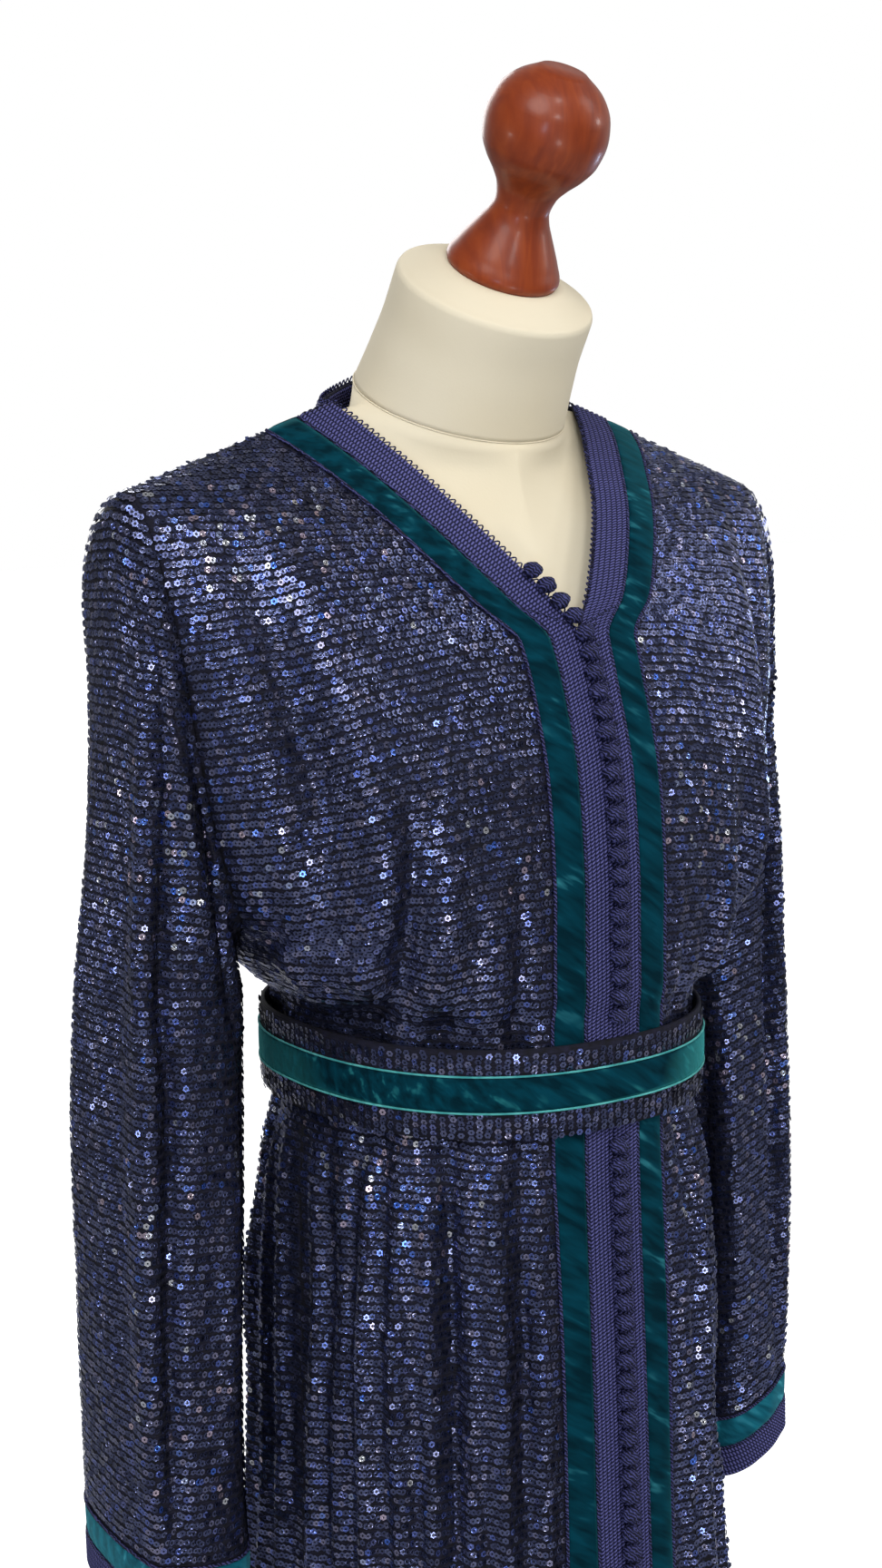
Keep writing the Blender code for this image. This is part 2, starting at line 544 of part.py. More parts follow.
def back_neck_band(name, grid, normals, neck_column, start, width, thick, material):
    """A band round the back neck, from shoulder seam to shoulder seam.

    Across its width it goes outwards along the shoulder at its ends and down the back at its
    middle. In the panel's columns and rows it is an ellipse, sampled evenly.
    """
    middle = (grid.shape[1] - 1) // 2
    top = grid.shape[0] - 1
    seam = grid[top, middle + neck_column:]
    seam_length = np.concatenate([[0], np.cumsum(np.linalg.norm(np.diff(seam, axis=0), axis=1))])
    spine = grid[::-1, middle]
    spine_length = np.concatenate([[0], np.cumsum(np.linalg.norm(np.diff(spine, axis=0),
                                                                 axis=1))])
    turn = np.linspace(-np.pi / 2, np.pi / 2, BACK_BAND_STEPS)
    lines, outs = [], []
    for distance in (start, start + width / 2, start + width):
        column = neck_column + np.interp(distance, seam_length, np.arange(len(seam)))
        drop = np.interp(distance, spine_length, np.arange(len(spine)))
        points, out = panel_point(grid, normals, middle + column * np.sin(turn),
                                  top - drop * np.cos(turn))
        lines.append(points)
        outs.append(out)
    base, out = np.array(lines), np.array(outs)
    gap = BACK_BAND_GAP
    return sheet(name, base + out * (gap + thick), base + out * gap, material)


def knot_chain(name, path, material):
    """A row of round knots on one cord: a tube whose radius swells at every knot."""
    whole = length_of(path)
    knots = int(whole // KNOT_PITCH)
    places = np.arange(2 * knots + 1) * KNOT_PITCH / 2
    radius = np.where(np.arange(2 * knots + 1) % 2 == 1, KNOT_RADIUS, KNOT_NECK_RADIUS)
    centres = spread(path, places)
    along = unit(np.gradient(centres, axis=0))
    side = unit(np.cross(along, np.array([0.0, -1.0, 0.0])))
    front = unit(np.cross(side, along))
    turn = np.linspace(0, 2 * np.pi, KNOT_SIDES, endpoint=False)
    rings = (centres[:, None] + radius[:, None, None]
             * (side[:, None] * np.cos(turn)[None, :, None]
                + front[:, None] * np.sin(turn)[None, :, None]))
    return rings_solid(name, rings, material)


def belt_ring(height, off):
    """A closed line round the waist at a height, off the cloth by the given distance."""
    body = table(BODY_COLUMNS, BODY_ROWS)
    values = {name: np.interp(height, body["side_z"], body[name])
              for name in ("side_x", "front", "back", "middle_y")}
    turn = np.linspace(0, 2 * np.pi, BELT_STEPS, endpoint=False)
    power = 2 / ROUNDNESS
    sine, cosine = np.sin(turn), np.cos(turn)
    depth = np.where(cosine > 0, values["front"], values["back"])
    x = values["side_x"] * np.sign(sine) * np.abs(sine) ** power
    y = -depth * np.sign(cosine) * np.abs(cosine) ** power
    slope = np.stack([np.gradient(np.append(np.append(x[-1], x), x[0]))[1:-1],
                      np.gradient(np.append(np.append(y[-1], y), y[0]))[1:-1]], axis=1)
    out = unit(np.stack([-slope[:, 1], slope[:, 0]], axis=1))
    out *= np.sign(np.sum(out * np.stack([x, y], axis=1), axis=1, keepdims=True))
    return np.stack([x + out[:, 0] * off, values["middle_y"] + y + out[:, 1] * off,
                     np.full(BELT_STEPS, height)], axis=1)


def belt_part(name, bottom, top, off, thick, material):
    """A band round the waist."""
    outer = np.array([belt_ring(z, off + thick) for z in (bottom, top)])
    inner = np.array([belt_ring(z, off) for z in (bottom, top)])
    return sheet(name, outer, inner, material, tube=True)


def torso_rings():
    """Rings of the torso, up to the neck's seam, each with its own front and back height."""
    rows = table(TORSO_COLUMNS, TORSO_ROWS)
    turn = np.linspace(0, 2 * np.pi, FORM_STEPS, endpoint=False)
    sine, cosine = np.sin(turn), np.cos(turn)
    rings = []
    for k, half in enumerate(rows["side"]):
        side_z = rows["side_z"][k]
        if side_z == 0:
            side_z = shoulder_z(half) - CLOTH - FORM_CLEARANCE
        power = 2 / rows["round"][k]
        x = half * np.sign(sine) * np.abs(sine) ** power
        front = cosine > 0
        far = np.where(front, rows["middle_y"][k] - rows["front"][k],
                       rows["back"][k] - rows["middle_y"][k])
        y = rows["middle_y"][k] - far * np.sign(cosine) * np.abs(cosine) ** power
        far_z = np.where(front, rows["front_z"][k], rows["back_z"][k])
        roll = TORSO_SHOULDER_ROLL * np.clip((side_z - TORSO_ROLL_START) / TORSO_ROLL_FADE, 0, 1)
        z = (side_z + (far_z - side_z) * np.abs(cosine) ** TORSO_SIDE_CURVE
             - roll * np.abs(sine * cosine))
        rings.append(np.stack([x, y, z], axis=1))
    rings.append(tilted_ring(NECK_RING_RADIUS, NECK_RING_Y, NECK_RING_Z, NECK_RING_TILT))
    return np.array(rings)


def tilted_ring(radius, y, z, tilt, lift=0.0):
    """A circle in a plane that leans forwards, moved along its own axis by lift."""
    turn = np.linspace(0, 2 * np.pi, FORM_STEPS, endpoint=False)
    back = -np.cos(turn) * radius
    return np.stack([np.sin(turn) * radius,
                     y + back * np.cos(tilt) - lift * np.sin(tilt),
                     z + back * np.sin(tilt) + lift * np.cos(tilt)], axis=1)


def neck_station(share):
    """The neck's middle, y and z, and its tilt at a share of the way up."""
    return (NECK_RING_Y + (NECK_TOP_Y - NECK_RING_Y) * share,
            NECK_RING_Z + (NECK_TOP_Z - NECK_RING_Z) * share,
            NECK_RING_TILT + (NECK_TOP_TILT - NECK_RING_TILT) * share)


def neck_rings():
    """Rings of the neck cap, from the seam up to its domed top, with a rounded edge."""
    return np.array([tilted_ring(radius, *neck_station(share), SEAM if share == 0 else 0.0)
                     for share, radius in NECK_OUTLINE])


def turned(name, profile, steps, material):
    """A solid turned on its own axis from a profile of radius and height."""
    turn = np.linspace(0, 2 * np.pi, steps, endpoint=False)
    rings = np.array([np.stack([r * np.cos(turn), r * np.sin(turn), np.full(steps, h)], axis=1)
                      for r, h in profile])
    return rings_solid(name, rings, material)


def make_material(name, colour, roughness, metallic):
    """A plain surface of one colour."""
    material = bpy.data.materials.new(name)
    material.use_nodes = True
    shader = material.node_tree.nodes["Principled BSDF"]
    shader.inputs["Base Color"].default_value = (*colour, 1)
    shader.inputs["Roughness"].default_value = roughness
    shader.inputs["Metallic"].default_value = metallic
    return material


def make_kaftan(sequin, velvet, braid):
    """The kaftan's panels with the trims and buttons that are sewn to them."""
    back, back_out, neck_column = back_panel()
    sheet("back", back, back - back_out * CLOTH, sequin,
          mirror_column=(back.shape[1] - 1) // 2)
    edges = {}
    for side, hand in ((-1, "right"), (1, "left")):
        front, out = front_panel(side)
        edges[hand] = (front[:, 0], out[:, 0])
        sheet("front_" + hand, front, front - out * CLOTH, sequin)
        trim_on("braid_front_" + hand, front, out, 0, 1, BRAID_THICK, braid)
        trim_on("velvet_front_" + hand, front, out, 2, 3, VELVET_THICK, velvet)
        sleeve, sleeve_out = sleeve_grid(side, front, out, back, back_out)
        sheet("sleeve_" + hand, sleeve, sleeve - sleeve_out * CLOTH, sequin, tube=True)
        for name, first, thick, cloth in (("velvet_cuff_", -4, VELVET_THICK, velvet),
                                          ("braid_cuff_", -2, BRAID_THICK, braid)):
            rows = slice(first, first + 2 or None)
            base, off = sleeve[rows], sleeve_out[rows]
            sheet(name + hand, base + off * (SEAM + thick), base + off * SEAM, cloth, tube=True)
    velvet_start = BRAID_WIDTH_NECK + BRAID_TO_VELVET
    back_neck_band("braid_back_neck", back, back_out, neck_column, 0.0, BRAID_WIDTH_NECK,
                   BRAID_THICK, braid)
    back_neck_band("velvet_back_neck", back, back_out, neck_column, velvet_start,
                   VELVET_WIDTH_NECK, VELVET_THICK, velvet)
    make_buttons(edges, braid)


def make_buttons(edges, braid):
    """Two rows of knot buttons on the join of the fronts, above and below the belt."""
    points, normals = edges["right"]
    lift = SEAM + BRAID_THICK + SEAM + KNOT_RADIUS
    line = points + normals * lift
    closed = points[:, 2] <= V_FOOT_Z
    line[closed, 0] = 0
    height = line[:, 2]
    lower_z = np.linspace(BUTTONS_ABOVE_HEM + height[0], BELT_BOTTOM - BUTTONS_OFF_BELT,
                          PATH_STEPS)
    lower = np.stack([np.zeros(PATH_STEPS), np.interp(lower_z, height, line[:, 1]), lower_z],
                     axis=1)
    knot_chain("buttons_lower", lower, braid)
    last = int(np.sum(closed))
    start_z = BELT_TOP + BUTTONS_OFF_BELT
    upper = np.concatenate([[[0, np.interp(start_z, height, line[:, 1]), start_z]],
                            line[(height > start_z) & closed],
                            line[last:last + 2]])
    to_v = length_of(upper[:len(upper) - 2])
    wanted = np.linspace(0, to_v + KNOTS_OVER_V * KNOT_PITCH, PATH_STEPS)
    knot_chain("buttons_upper", spread(upper, wanted), braid)


def make_belt(sequin, velvet):
    """The belt's band and the ribbon along its middle."""
    belt_part("belt_band", BELT_BOTTOM, BELT_TOP, BELT_OFF_CLOTH, BELT_THICK, sequin)
    belt_part("belt_ribbon", BELT_RIBBON_BOTTOM, BELT_RIBBON_TOP,
              BELT_OFF_CLOTH + BELT_THICK + SEAM, VELVET_THICK, velvet)


def make_form(jersey, wood):
    """The dress form that the kaftan hangs on, and its stand."""
    rings_solid("form_torso", torso_rings(), jersey)
    rings_solid("form_neck", neck_rings(), jersey)
    finial = turned("finial", FINIAL_PROFILE, FINIAL_STEPS, wood)
    y, z, tilt = neck_station(CAP_TOP_SHARE)
    seat = Matrix.Translation((0, y - SEAM * np.sin(tilt), z + SEAM * np.cos(tilt)))
    finial.data.transform(seat @ Matrix.Rotation(tilt, 4, "X"))
    turned("stand_base", BASE_PROFILE, BASE_STEPS, wood)
    pole_profile = ((POLE_RADIUS, BASE_HEIGHT + SEAM), (POLE_RADIUS, TORSO_BOTTOM_Z - SEAM))
    turned("stand_pole", pole_profile, POLE_STEPS, wood)


clear_scene()
sequin_cloth = make_material("sequin_navy", *SEQUIN_NAVY)
green_velvet = make_material("velvet_green", *VELVET_GREEN)
navy_braid = make_material("braid_navy", *BRAID_NAVY)
cream_jersey = make_material("jersey_cream", *JERSEY_CREAM)
turned_wood = make_material("wood_turned", *TURNED_WOOD)
make_kaftan(sequin_cloth, green_velvet, navy_braid)
make_belt(sequin_cloth, green_velvet)
make_form(cream_jersey, turned_wood)
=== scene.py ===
"""Looks of a full-length sequin kaftan that hangs on a limbless dress form.

Metres, +Z up. The wearer's left is +X and the front faces -Y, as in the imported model. Every
panel is a smooth surface through the sections that its solid is built on, and the trims, the
sequins and the cords take their points from the panel that they are sewn to.
"""

import bpy
import numpy as np
from mathutils import Matrix, Vector


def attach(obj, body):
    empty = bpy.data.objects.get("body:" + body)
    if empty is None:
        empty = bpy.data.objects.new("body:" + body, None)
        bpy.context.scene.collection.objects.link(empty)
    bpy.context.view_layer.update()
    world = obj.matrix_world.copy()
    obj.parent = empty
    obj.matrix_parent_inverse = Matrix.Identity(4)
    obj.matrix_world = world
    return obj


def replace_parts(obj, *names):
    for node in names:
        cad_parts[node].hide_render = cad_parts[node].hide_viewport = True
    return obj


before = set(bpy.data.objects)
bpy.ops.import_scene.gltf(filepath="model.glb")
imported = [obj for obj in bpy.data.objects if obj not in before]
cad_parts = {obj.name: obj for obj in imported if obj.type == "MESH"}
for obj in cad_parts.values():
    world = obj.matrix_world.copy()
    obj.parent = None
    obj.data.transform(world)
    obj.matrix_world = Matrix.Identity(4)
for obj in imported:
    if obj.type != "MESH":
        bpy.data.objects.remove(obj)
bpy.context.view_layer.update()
RANDOM = np.random.default_rng(7)

# Cloth and trims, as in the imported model
CLOTH = 0.0018
SEAM = 0.0003
HALF_SEAM = SEAM / 2
BRAID_THICK = 0.0014
VELVET_THICK = 0.0012
BRAID_WIDTH_CLOSURE = 0.0165
BRAID_WIDTH_NECK = 0.0230
VELVET_WIDTH_CLOSURE = 0.0190
VELVET_WIDTH_NECK = 0.0205
BRAID_TO_VELVET = 0.0015
ROUNDNESS = 2.3
ROOF_RADIUS = 0.020
SECTION_STEPS = 160
NECK_HALF = 0.083
NECK_BACK_DEPTH = 0.062
NECK_COLUMN = 0.485
NECK_HUMP_SPREAD = 0.02
V_FOOT_Z = 1.3705
V_TRIM_START = 1.365
V_TRIM_END = 1.395
SHOULDER_HALF = 0.211
SHOULDER_TIP_Z = 1.452
BACK_NECK_Z = 1.522
UNDERARM_Z = 1.200

# Belt
BELT_BOTTOM = 1.1065
BELT_TOP = 1.1555
BELT_OFF_CLOTH = 0.0026
BELT_THICK = 0.0028
BELT_RIBBON_BOTTOM = 1.1215
BELT_RIBBON_TOP = 1.1415
BELT_EDGE_ROLL = 0.0006
BELT_ROLL_SHARE = 0.1

# Knot buttons, their shape in x, y and z as shares of the radius, and the loops that hold them.
# A knot stands KNOT_STAND of its radius off the braid, and those beyond FREE_KNOT_X, over the V,
# have no loop.
KNOT_PITCH = 0.0110
KNOT_RADIUS = 0.0052
KNOTS_OVER_V = 4
BUTTONS_OFF_BELT = 0.006
BUTTONS_ABOVE_HEM = 0.010
KNOT_SHAPE = (1.05, 0.92, 0.90)
KNOT_STAND = 0.8
FREE_KNOT_X = -0.002
LOOP_REACH = 0.0098
LOOP_HALF_HEIGHT = 0.0040
LOOP_FRONT = 0.0005
LOOP_SINK = 0.0036

# Dress form and stand. The neck's outline has shares of the way up, and the radius at each
FORM_CLEARANCE = 0.0004
NECK_RING_RADIUS = 0.0621
NECK_RING_Y = 0.009
NECK_RING_Z = 1.5007
NECK_RING_TILT = np.radians(24.7)
NECK_TOP_Y = -0.0304
NECK_TOP_Z = 1.5620
NECK_TOP_TILT = np.radians(30.75)
NECK_OUTLINE = ((0.0, NECK_RING_RADIUS), (0.33, 0.0590), (0.66, 0.0570), (0.93, 0.0568),
                (0.985, 0.0555), (1.0, 0.0525), (1.05, 0.0450), (1.10, 0.0375), (1.115, 0.0345))
CAP_TOP_SHARE = 1.115
FINIAL_HEIGHT = 0.1135
POLE_RADIUS = 0.016
BASE_RADIUS = 0.190
BASE_HEIGHT = 0.022
TORSO_BOTTOM_Z = 0.800

# A row of the kaftan's body for each station from the hem to the shoulder. The depths are
# measured forwards and backwards from middle_y, the plane of the side and shoulder seams.
BODY_COLUMNS = ("edge_z", "edge_x", "front", "back_z", "back", "hump",
                "side_z", "side_x", "front_side", "back_side", "middle_y")
BODY_ROWS = (
    (0.070, HALF_SEAM, 0.2150, 0.070, 0.2086, 0.0, 0.070, 0.240, HALF_SEAM, HALF_SEAM, 0.000),
    (0.280, HALF_SEAM, 0.1920, 0.280, 0.1900, 0.0, 0.280, 0.206, HALF_SEAM, HALF_SEAM, 0.000),
    (0.500, HALF_SEAM, 0.1700, 0.500, 0.1710, 0.0, 0.500, 0.172, HALF_SEAM, HALF_SEAM, 0.000),
    (0.700, HALF_SEAM, 0.1540, 0.700, 0.1560, 0.0, 0.700, 0.144, HALF_SEAM, HALF_SEAM, 0.001),
    (0.850, HALF_SEAM, 0.1440, 0.850, 0.1450, 0.0, 0.850, 0.124, HALF_SEAM, HALF_SEAM, 0.003),
    (0.960, HALF_SEAM, 0.1395, 0.960, 0.1360, 0.0, 0.960, 0.122, HALF_SEAM, HALF_SEAM, 0.003),
    (1.050, HALF_SEAM, 0.1370, 1.050, 0.1190, 0.0, 1.050, 0.120, HALF_SEAM, HALF_SEAM, 0.005),
    (1.096, HALF_SEAM, 0.1365, 1.096, 0.1105, 0.0, 1.096, 0.117, HALF_SEAM, HALF_SEAM, 0.006),
    (1.164, HALF_SEAM, 0.1365, 1.164, 0.1105, 0.0, 1.164, 0.117, HALF_SEAM, HALF_SEAM, 0.006),
    (1.182, HALF_SEAM, 0.1375, 1.182, 0.1180, 0.0, 1.178, 0.132, HALF_SEAM, HALF_SEAM, 0.005),
    (1.215, HALF_SEAM, 0.1420, 1.212, 0.1190, 0.0, 1.200, 0.150, HALF_SEAM, HALF_SEAM, 0.010),
    (1.235, HALF_SEAM, 0.1430, 1.234, 0.1180, 0.0, 1.222, 0.1640, 0.0290, 0.0440, 0.011),
    (1.260, HALF_SEAM, 0.1415, 1.262, 0.1160, 0.0, 1.250, 0.1760, 0.0370, 0.0600, 0.011),
    (1.300, HALF_SEAM, 0.1370, 1.302, 0.1120, 0.0, 1.290, 0.1870, 0.0400, 0.0690, 0.011),
    (1.340, HALF_SEAM, 0.1260, 1.344, 0.1070, 0.0, 1.330, 0.1945, 0.0410, 0.0710, 0.011),
    (1.370, HALF_SEAM, 0.1150, 1.376, 0.1020, 0.10, 1.360, 0.1985, 0.0400, 0.0680, 0.011),
    (1.392, 0.0135, 0.1050, 1.402, 0.0960, 0.30, 1.379, 0.2015, 0.0385, 0.0640, 0.011),
    (1.415, 0.0295, 0.0890, 1.430, 0.0870, 0.55, 1.400, 0.2045, 0.0350, 0.0580, 0.011),
    (1.440, 0.0465, 0.0680, 1.458, 0.0740, 0.80, 1.423, 0.2075, 0.0290, 0.0470, 0.011),
    (1.465, 0.0620, 0.0420, 1.484, 0.0540, 0.95, 1.440, 0.2098, 0.0190, 0.0300, 0.011),
    (1.485, 0.0750, 0.0185, 1.505, 0.0300, 1.00, 1.449, 0.2110, 0.0095, 0.0150, 0.011),
    (1.4982, NECK_HALF, HALF_SEAM, BACK_NECK_Z, HALF_SEAM, 1.0,
     SHOULDER_TIP_Z, SHOULDER_HALF, HALF_SEAM, HALF_SEAM, 0.011),
)

# Gathers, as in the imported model: place is a share of the panel from the trims to the side seam
GATHER_COLUMNS = ("place", "depth", "width")
SKIRT_GATHERS_RIGHT = (
    (0.070, 0.0050, 0.030), (0.185, 0.0085, 0.036), (0.290, 0.0060, 0.030),
    (0.400, 0.0095, 0.038), (0.520, 0.0070, 0.034), (0.640, 0.0100, 0.040),
    (0.770, 0.0065, 0.036), (0.900, 0.0080, 0.036),
)
SKIRT_GATHERS_LEFT = (
    (0.085, 0.0055, 0.032), (0.205, 0.0070, 0.034), (0.320, 0.0090, 0.038),
    (0.430, 0.0060, 0.030), (0.545, 0.0095, 0.040), (0.665, 0.0070, 0.034),
    (0.785, 0.0085, 0.038), (0.905, 0.0060, 0.034),
)
SKIRT_GATHERS_BACK = (
    (0.060, 0.0080, 0.030), (0.200, 0.0060, 0.028), (0.340, 0.0095, 0.034),
    (0.485, 0.0070, 0.030), (0.630, 0.0090, 0.034), (0.780, 0.0065, 0.030),
    (0.915, 0.0080, 0.032),
)
BODICE_GATHERS_RIGHT = ((0.100, 0.0035, 0.050), (0.290, 0.0050, 0.060), (0.520, 0.0045, 0.060),
                        (0.770, 0.0040, 0.060))
BODICE_GATHERS_LEFT = ((0.085, 0.0030, 0.050), (0.320, 0.0045, 0.060), (0.545, 0.0050, 0.060),
                       (0.785, 0.0035, 0.060))
BODICE_GATHERS_BACK = ((0.060, 0.0040, 0.050), (0.340, 0.0050, 0.060), (0.630, 0.0045, 0.060))
GATHER_HEIGHTS = (0.070, 0.500, 0.850, 1.000, 1.070, 1.096)
SKIRT_STRENGTH = (2.10, 1.60, 1.10, 0.85, 0.55, 0.0)
BODICE_HEIGHTS = (1.164, 1.182, 1.215, 1.260, 1.320)
BODICE_STRENGTH = (0.0, 0.8, 1.0, 0.7, 0.0)

# Finer creases, listed one by one: from one x and z to another, half width, and depth outwards.
# They die out over the last part of a panel, so that its seam stays where it is sewn.
CREASE_STOP = 0.12
CREASE_SEAM = 0.030
CREASE_COLUMNS = ("from_x", "from_z", "to_x", "to_z", "width", "depth")
CREASES_RIGHT = (
    (0.172, 1.435, 0.142, 1.200, 0.014, -0.0125),
    (0.146, 1.420, 0.116, 1.190, 0.016, 0.0045),
    (0.160, 1.330, 0.104, 1.180, 0.010, -0.0040),
    (0.112, 1.300, 0.106, 0.980, 0.006, -0.0085),
    (0.098, 1.280, 0.092, 1.164, 0.009, 0.0045),
    (0.086, 1.200, 0.090, 0.860, 0.007, -0.0100),
    (0.072, 1.260, 0.070, 1.164, 0.009, 0.0040),
    (0.057, 1.260, 0.052, 1.060, 0.006, -0.0065),
    (0.145, 1.380, 0.085, 1.330, 0.012, -0.0024),
    (0.102, 1.096, 0.108, 0.900, 0.008, 0.0055),
    (0.114, 1.090, 0.126, 0.930, 0.006, -0.0060),
    (0.070, 1.096, 0.076, 0.880, 0.009, 0.0050),
    (0.050, 1.090, 0.060, 0.900, 0.006, -0.0040),
    (0.040, 1.080, 0.044, 0.860, 0.008, 0.0036),
)
CREASES_LEFT = (
    (0.172, 1.435, 0.144, 1.200, 0.013, -0.0110),
    (0.148, 1.400, 0.120, 1.190, 0.014, 0.0042),
    (0.150, 1.310, 0.108, 1.180, 0.009, 0.0040),
    (0.116, 1.290, 0.108, 1.000, 0.006, -0.0080),
    (0.096, 1.250, 0.090, 1.164, 0.008, 0.0042),
    (0.080, 1.230, 0.084, 0.880, 0.007, -0.0090),
    (0.056, 1.240, 0.056, 1.040, 0.006, -0.0060),
    (0.098, 1.096, 0.106, 0.920, 0.008, 0.0055),
    (0.116, 1.090, 0.126, 0.940, 0.006, -0.0060),
    (0.066, 1.096, 0.072, 0.900, 0.008, 0.0046),
    (0.042, 1.090, 0.046, 0.880, 0.007, 0.0034),
)
CREASES_BACK = (
    (0.170, 1.430, 0.142, 1.200, 0.014, -0.0100),
    (0.146, 1.400, 0.116, 1.190, 0.014, 0.0050),
    (0.150, 1.310, 0.100, 1.175, 0.010, 0.0045),
    (0.114, 1.280, 0.104, 0.990, 0.007, -0.0070),
    (0.088, 1.250, 0.074, 1.164, 0.008, 0.0045),
    (0.074, 1.210, 0.078, 0.880, 0.007, -0.0080),
    (0.048, 1.250, 0.044, 1.040, 0.006, -0.0055),
    (0.026, 1.240, 0.022, 1.164, 0.008, 0.0040),
    (0.096, 1.096, 0.108, 0.930, 0.008, 0.0050),
    (0.060, 1.096, 0.064, 0.900, 0.007, 0.0045),
    (0.014, 1.150, 0.018, 0.900, 0.008, -0.0050),
)

# Rings of a sleeve, from the armhole to the hem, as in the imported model
SLEEVE_COLUMNS = ("inner_x", "inner_z", "outer_x", "outer_z", "middle_y", "half_depth", "blend")
SLEEVE_HEM_Z = 0.824
SLEEVE_BRAID_TOP = SLEEVE_HEM_Z + 0.0185
SLEEVE_VELVET_BOTTOM = SLEEVE_BRAID_TOP + BRAID_TO_VELVET
SLEEVE_VELVET_TOP = SLEEVE_VELVET_BOTTOM + 0.0195
SLEEVE_ROWS = (
    (0.1530, 1.198, 0.2165, 1.4460, 0.0210, 0.056, 0.10),
    (0.1550, 1.196, 0.2180, 1.4300, 0.0240, 0.055, 0.25),
    (0.1560, 1.194, 0.2165, 1.3920, 0.0257, 0.053, 0.45),
    (0.1560, 1.191, 0.2177, 1.3350, 0.0257, 0.051, 0.65),
    (0.1555, 1.186, 0.2222, 1.2600, 0.0265, 0.051, 0.85),
    (0.1535, 1.178, 0.2295, 1.1800, 0.0296, 0.052, 1.00),
    (0.1550, 1.080, 0.2347, 1.0800, 0.0309, 0.056, 1.00),
    (0.1590, 0.970, 0.2360, 0.9700, 0.0325, 0.058, 1.00),
    (0.1620, SLEEVE_VELVET_TOP, 0.2345, SLEEVE_VELVET_TOP, 0.0310, 0.059, 1.00),
    (0.1625, SLEEVE_VELVET_BOTTOM, 0.2340, SLEEVE_VELVET_BOTTOM, 0.0310, 0.059, 1.00),
    (0.1625, SLEEVE_BRAID_TOP, 0.2340, SLEEVE_BRAID_TOP, 0.0310, 0.059, 1.00),
    (0.1630, SLEEVE_HEM_Z, 0.2335, SLEEVE_HEM_Z, 0.0310, 0.060, 1.00),
)
SLEEVE_ROUNDNESS = 2.7
CREASE_TURN = np.radians(-47)
CREASE_SPREAD = np.radians(13)
CREASE_HEIGHT = 0.0040

# How each hem tips: its slopes outwards and backwards, and how far it is lifted
HEM_TIP = {"right": (0.12, 0.05, 0.006), "left": (0.42, 0.12, 0.003)}
HEM_TIP_TOP = 1.15
HEM_TIP_FADE = 0.25
SLEEVE_STEPS = 128
SLEEVE_GIRTH_RADIUS = 0.050

# Sleeve creases: from one turn in degrees and height to another, half width, depth outwards
SLEEVE_CREASES = (
    (-26, 1.385, -58, 1.100, 0.010, 0.0060),
    (-36, 1.400, -74, 1.080, 0.006, -0.0085),
    (-58, 1.410, -98, 1.180, 0.009, 0.0060),
    (-82, 1.370, -120, 1.150, 0.008, -0.0070),
    (-54, 1.160, -50, 0.880, 0.010, 0.0050),
    (-70, 1.180, -64, 0.870, 0.007, -0.0070),
    (-112, 1.120, -104, 0.900, 0.010, 0.0050),
    (-134, 1.160, -138, 0.870, 0.009, -0.0060),
    (-12, 1.300, -24, 0.960, 0.010, -0.0040),
    (14, 1.320, 22, 1.020, 0.012, 0.0036),
    (60, 1.340, 78, 1.080, 0.011, 0.0048),
    (90, 1.240, 100, 0.900, 0.009, -0.0062),
    (130, 1.180, 124, 0.920, 0.010, 0.0045),
    (40, 1.120, 48, 0.900, 0.009, -0.0045),
)

# Rings of the torso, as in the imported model
TORSO_COLUMNS = ("side", "middle_y", "side_z", "front", "front_z", "back", "back_z", "round")
TORSO_ROWS = (
    (0.114, 0.006, TORSO_BOTTOM_Z, -0.098, TORSO_BOTTOM_Z, 0.114, TORSO_BOTTOM_Z, 2.3),
    (0.115, 0.005, 0.870, -0.104, 0.870, 0.116, 0.870, 2.3),
    (0.110, 0.004, 0.980, -0.106, 0.980, 0.106, 0.980, 2.3),
    (0.101, 0.005, 1.125, -0.104, 1.125, 0.090, 1.125, 2.2),
    (0.116, 0.005, 1.200, -0.110, 1.200, 0.093, 1.200, 2.2),
    (0.134, 0.006, 1.270, -0.116, 1.265, 0.098, 1.270, 2.2),
    (0.152, 0.010, 1.330, -0.1085, 1.320, 0.100, 1.335, 2.2),
    (0.172, 0.011, 1.390, -0.0930, 1.362, 0.096, 1.395, 1.9),
    (0.187, 0.011, 1.425, -0.0780, 1.392, 0.088, 1.432, 1.6),
    (0.191, 0.011, 1.443, -0.0680, 1.412, 0.082, 1.455, 1.5),
    (0.183, 0.011, 0.0, -0.0600, 1.428, 0.075, 1.463, 1.4),
    (0.150, 0.011, 0.0, -0.0540, 1.443, 0.071, 1.474, 1.25),
    (0.118, 0.011, 0.0, -0.0505, 1.455, 0.069, 1.484, 1.2),
    (0.088, 0.011, 0.0, -0.0490, 1.465, 0.0675, 1.496, 1.25),
    (0.070, 0.010, 1.4970, -0.0480, 1.471, 0.066, 1.510, 1.6),
)
TORSO_SIDE_CURVE = 1.3
TORSO_SHOULDER_ROLL = 0.012
TORSO_ROLL_START = 1.43
TORSO_ROLL_FADE = 0.02

# Turned outlines: radius and height
FINIAL_PROFILE = (
    (0.0314, 0.0000), (0.0324, 0.0028), (0.0288, 0.0115), (0.0245, 0.0195),
    (0.0203, 0.0270), (0.0172, 0.0330), (0.0155, 0.0390), (0.0170, 0.0470),
    (0.0215, 0.0545), (0.0275, 0.0620), (0.0325, 0.0715), (0.0341, 0.0825),
    (0.0318, 0.0945), (0.0250, 0.1050), (0.0130, FINIAL_HEIGHT),
)
BASE_PROFILE = (
    (BASE_RADIUS - 0.003, 0.0), (BASE_RADIUS, 0.003), (BASE_RADIUS, 0.012),
    (BASE_RADIUS - 0.004, 0.017), (BASE_RADIUS - 0.012, 0.019), (0.040, BASE_HEIGHT),
)

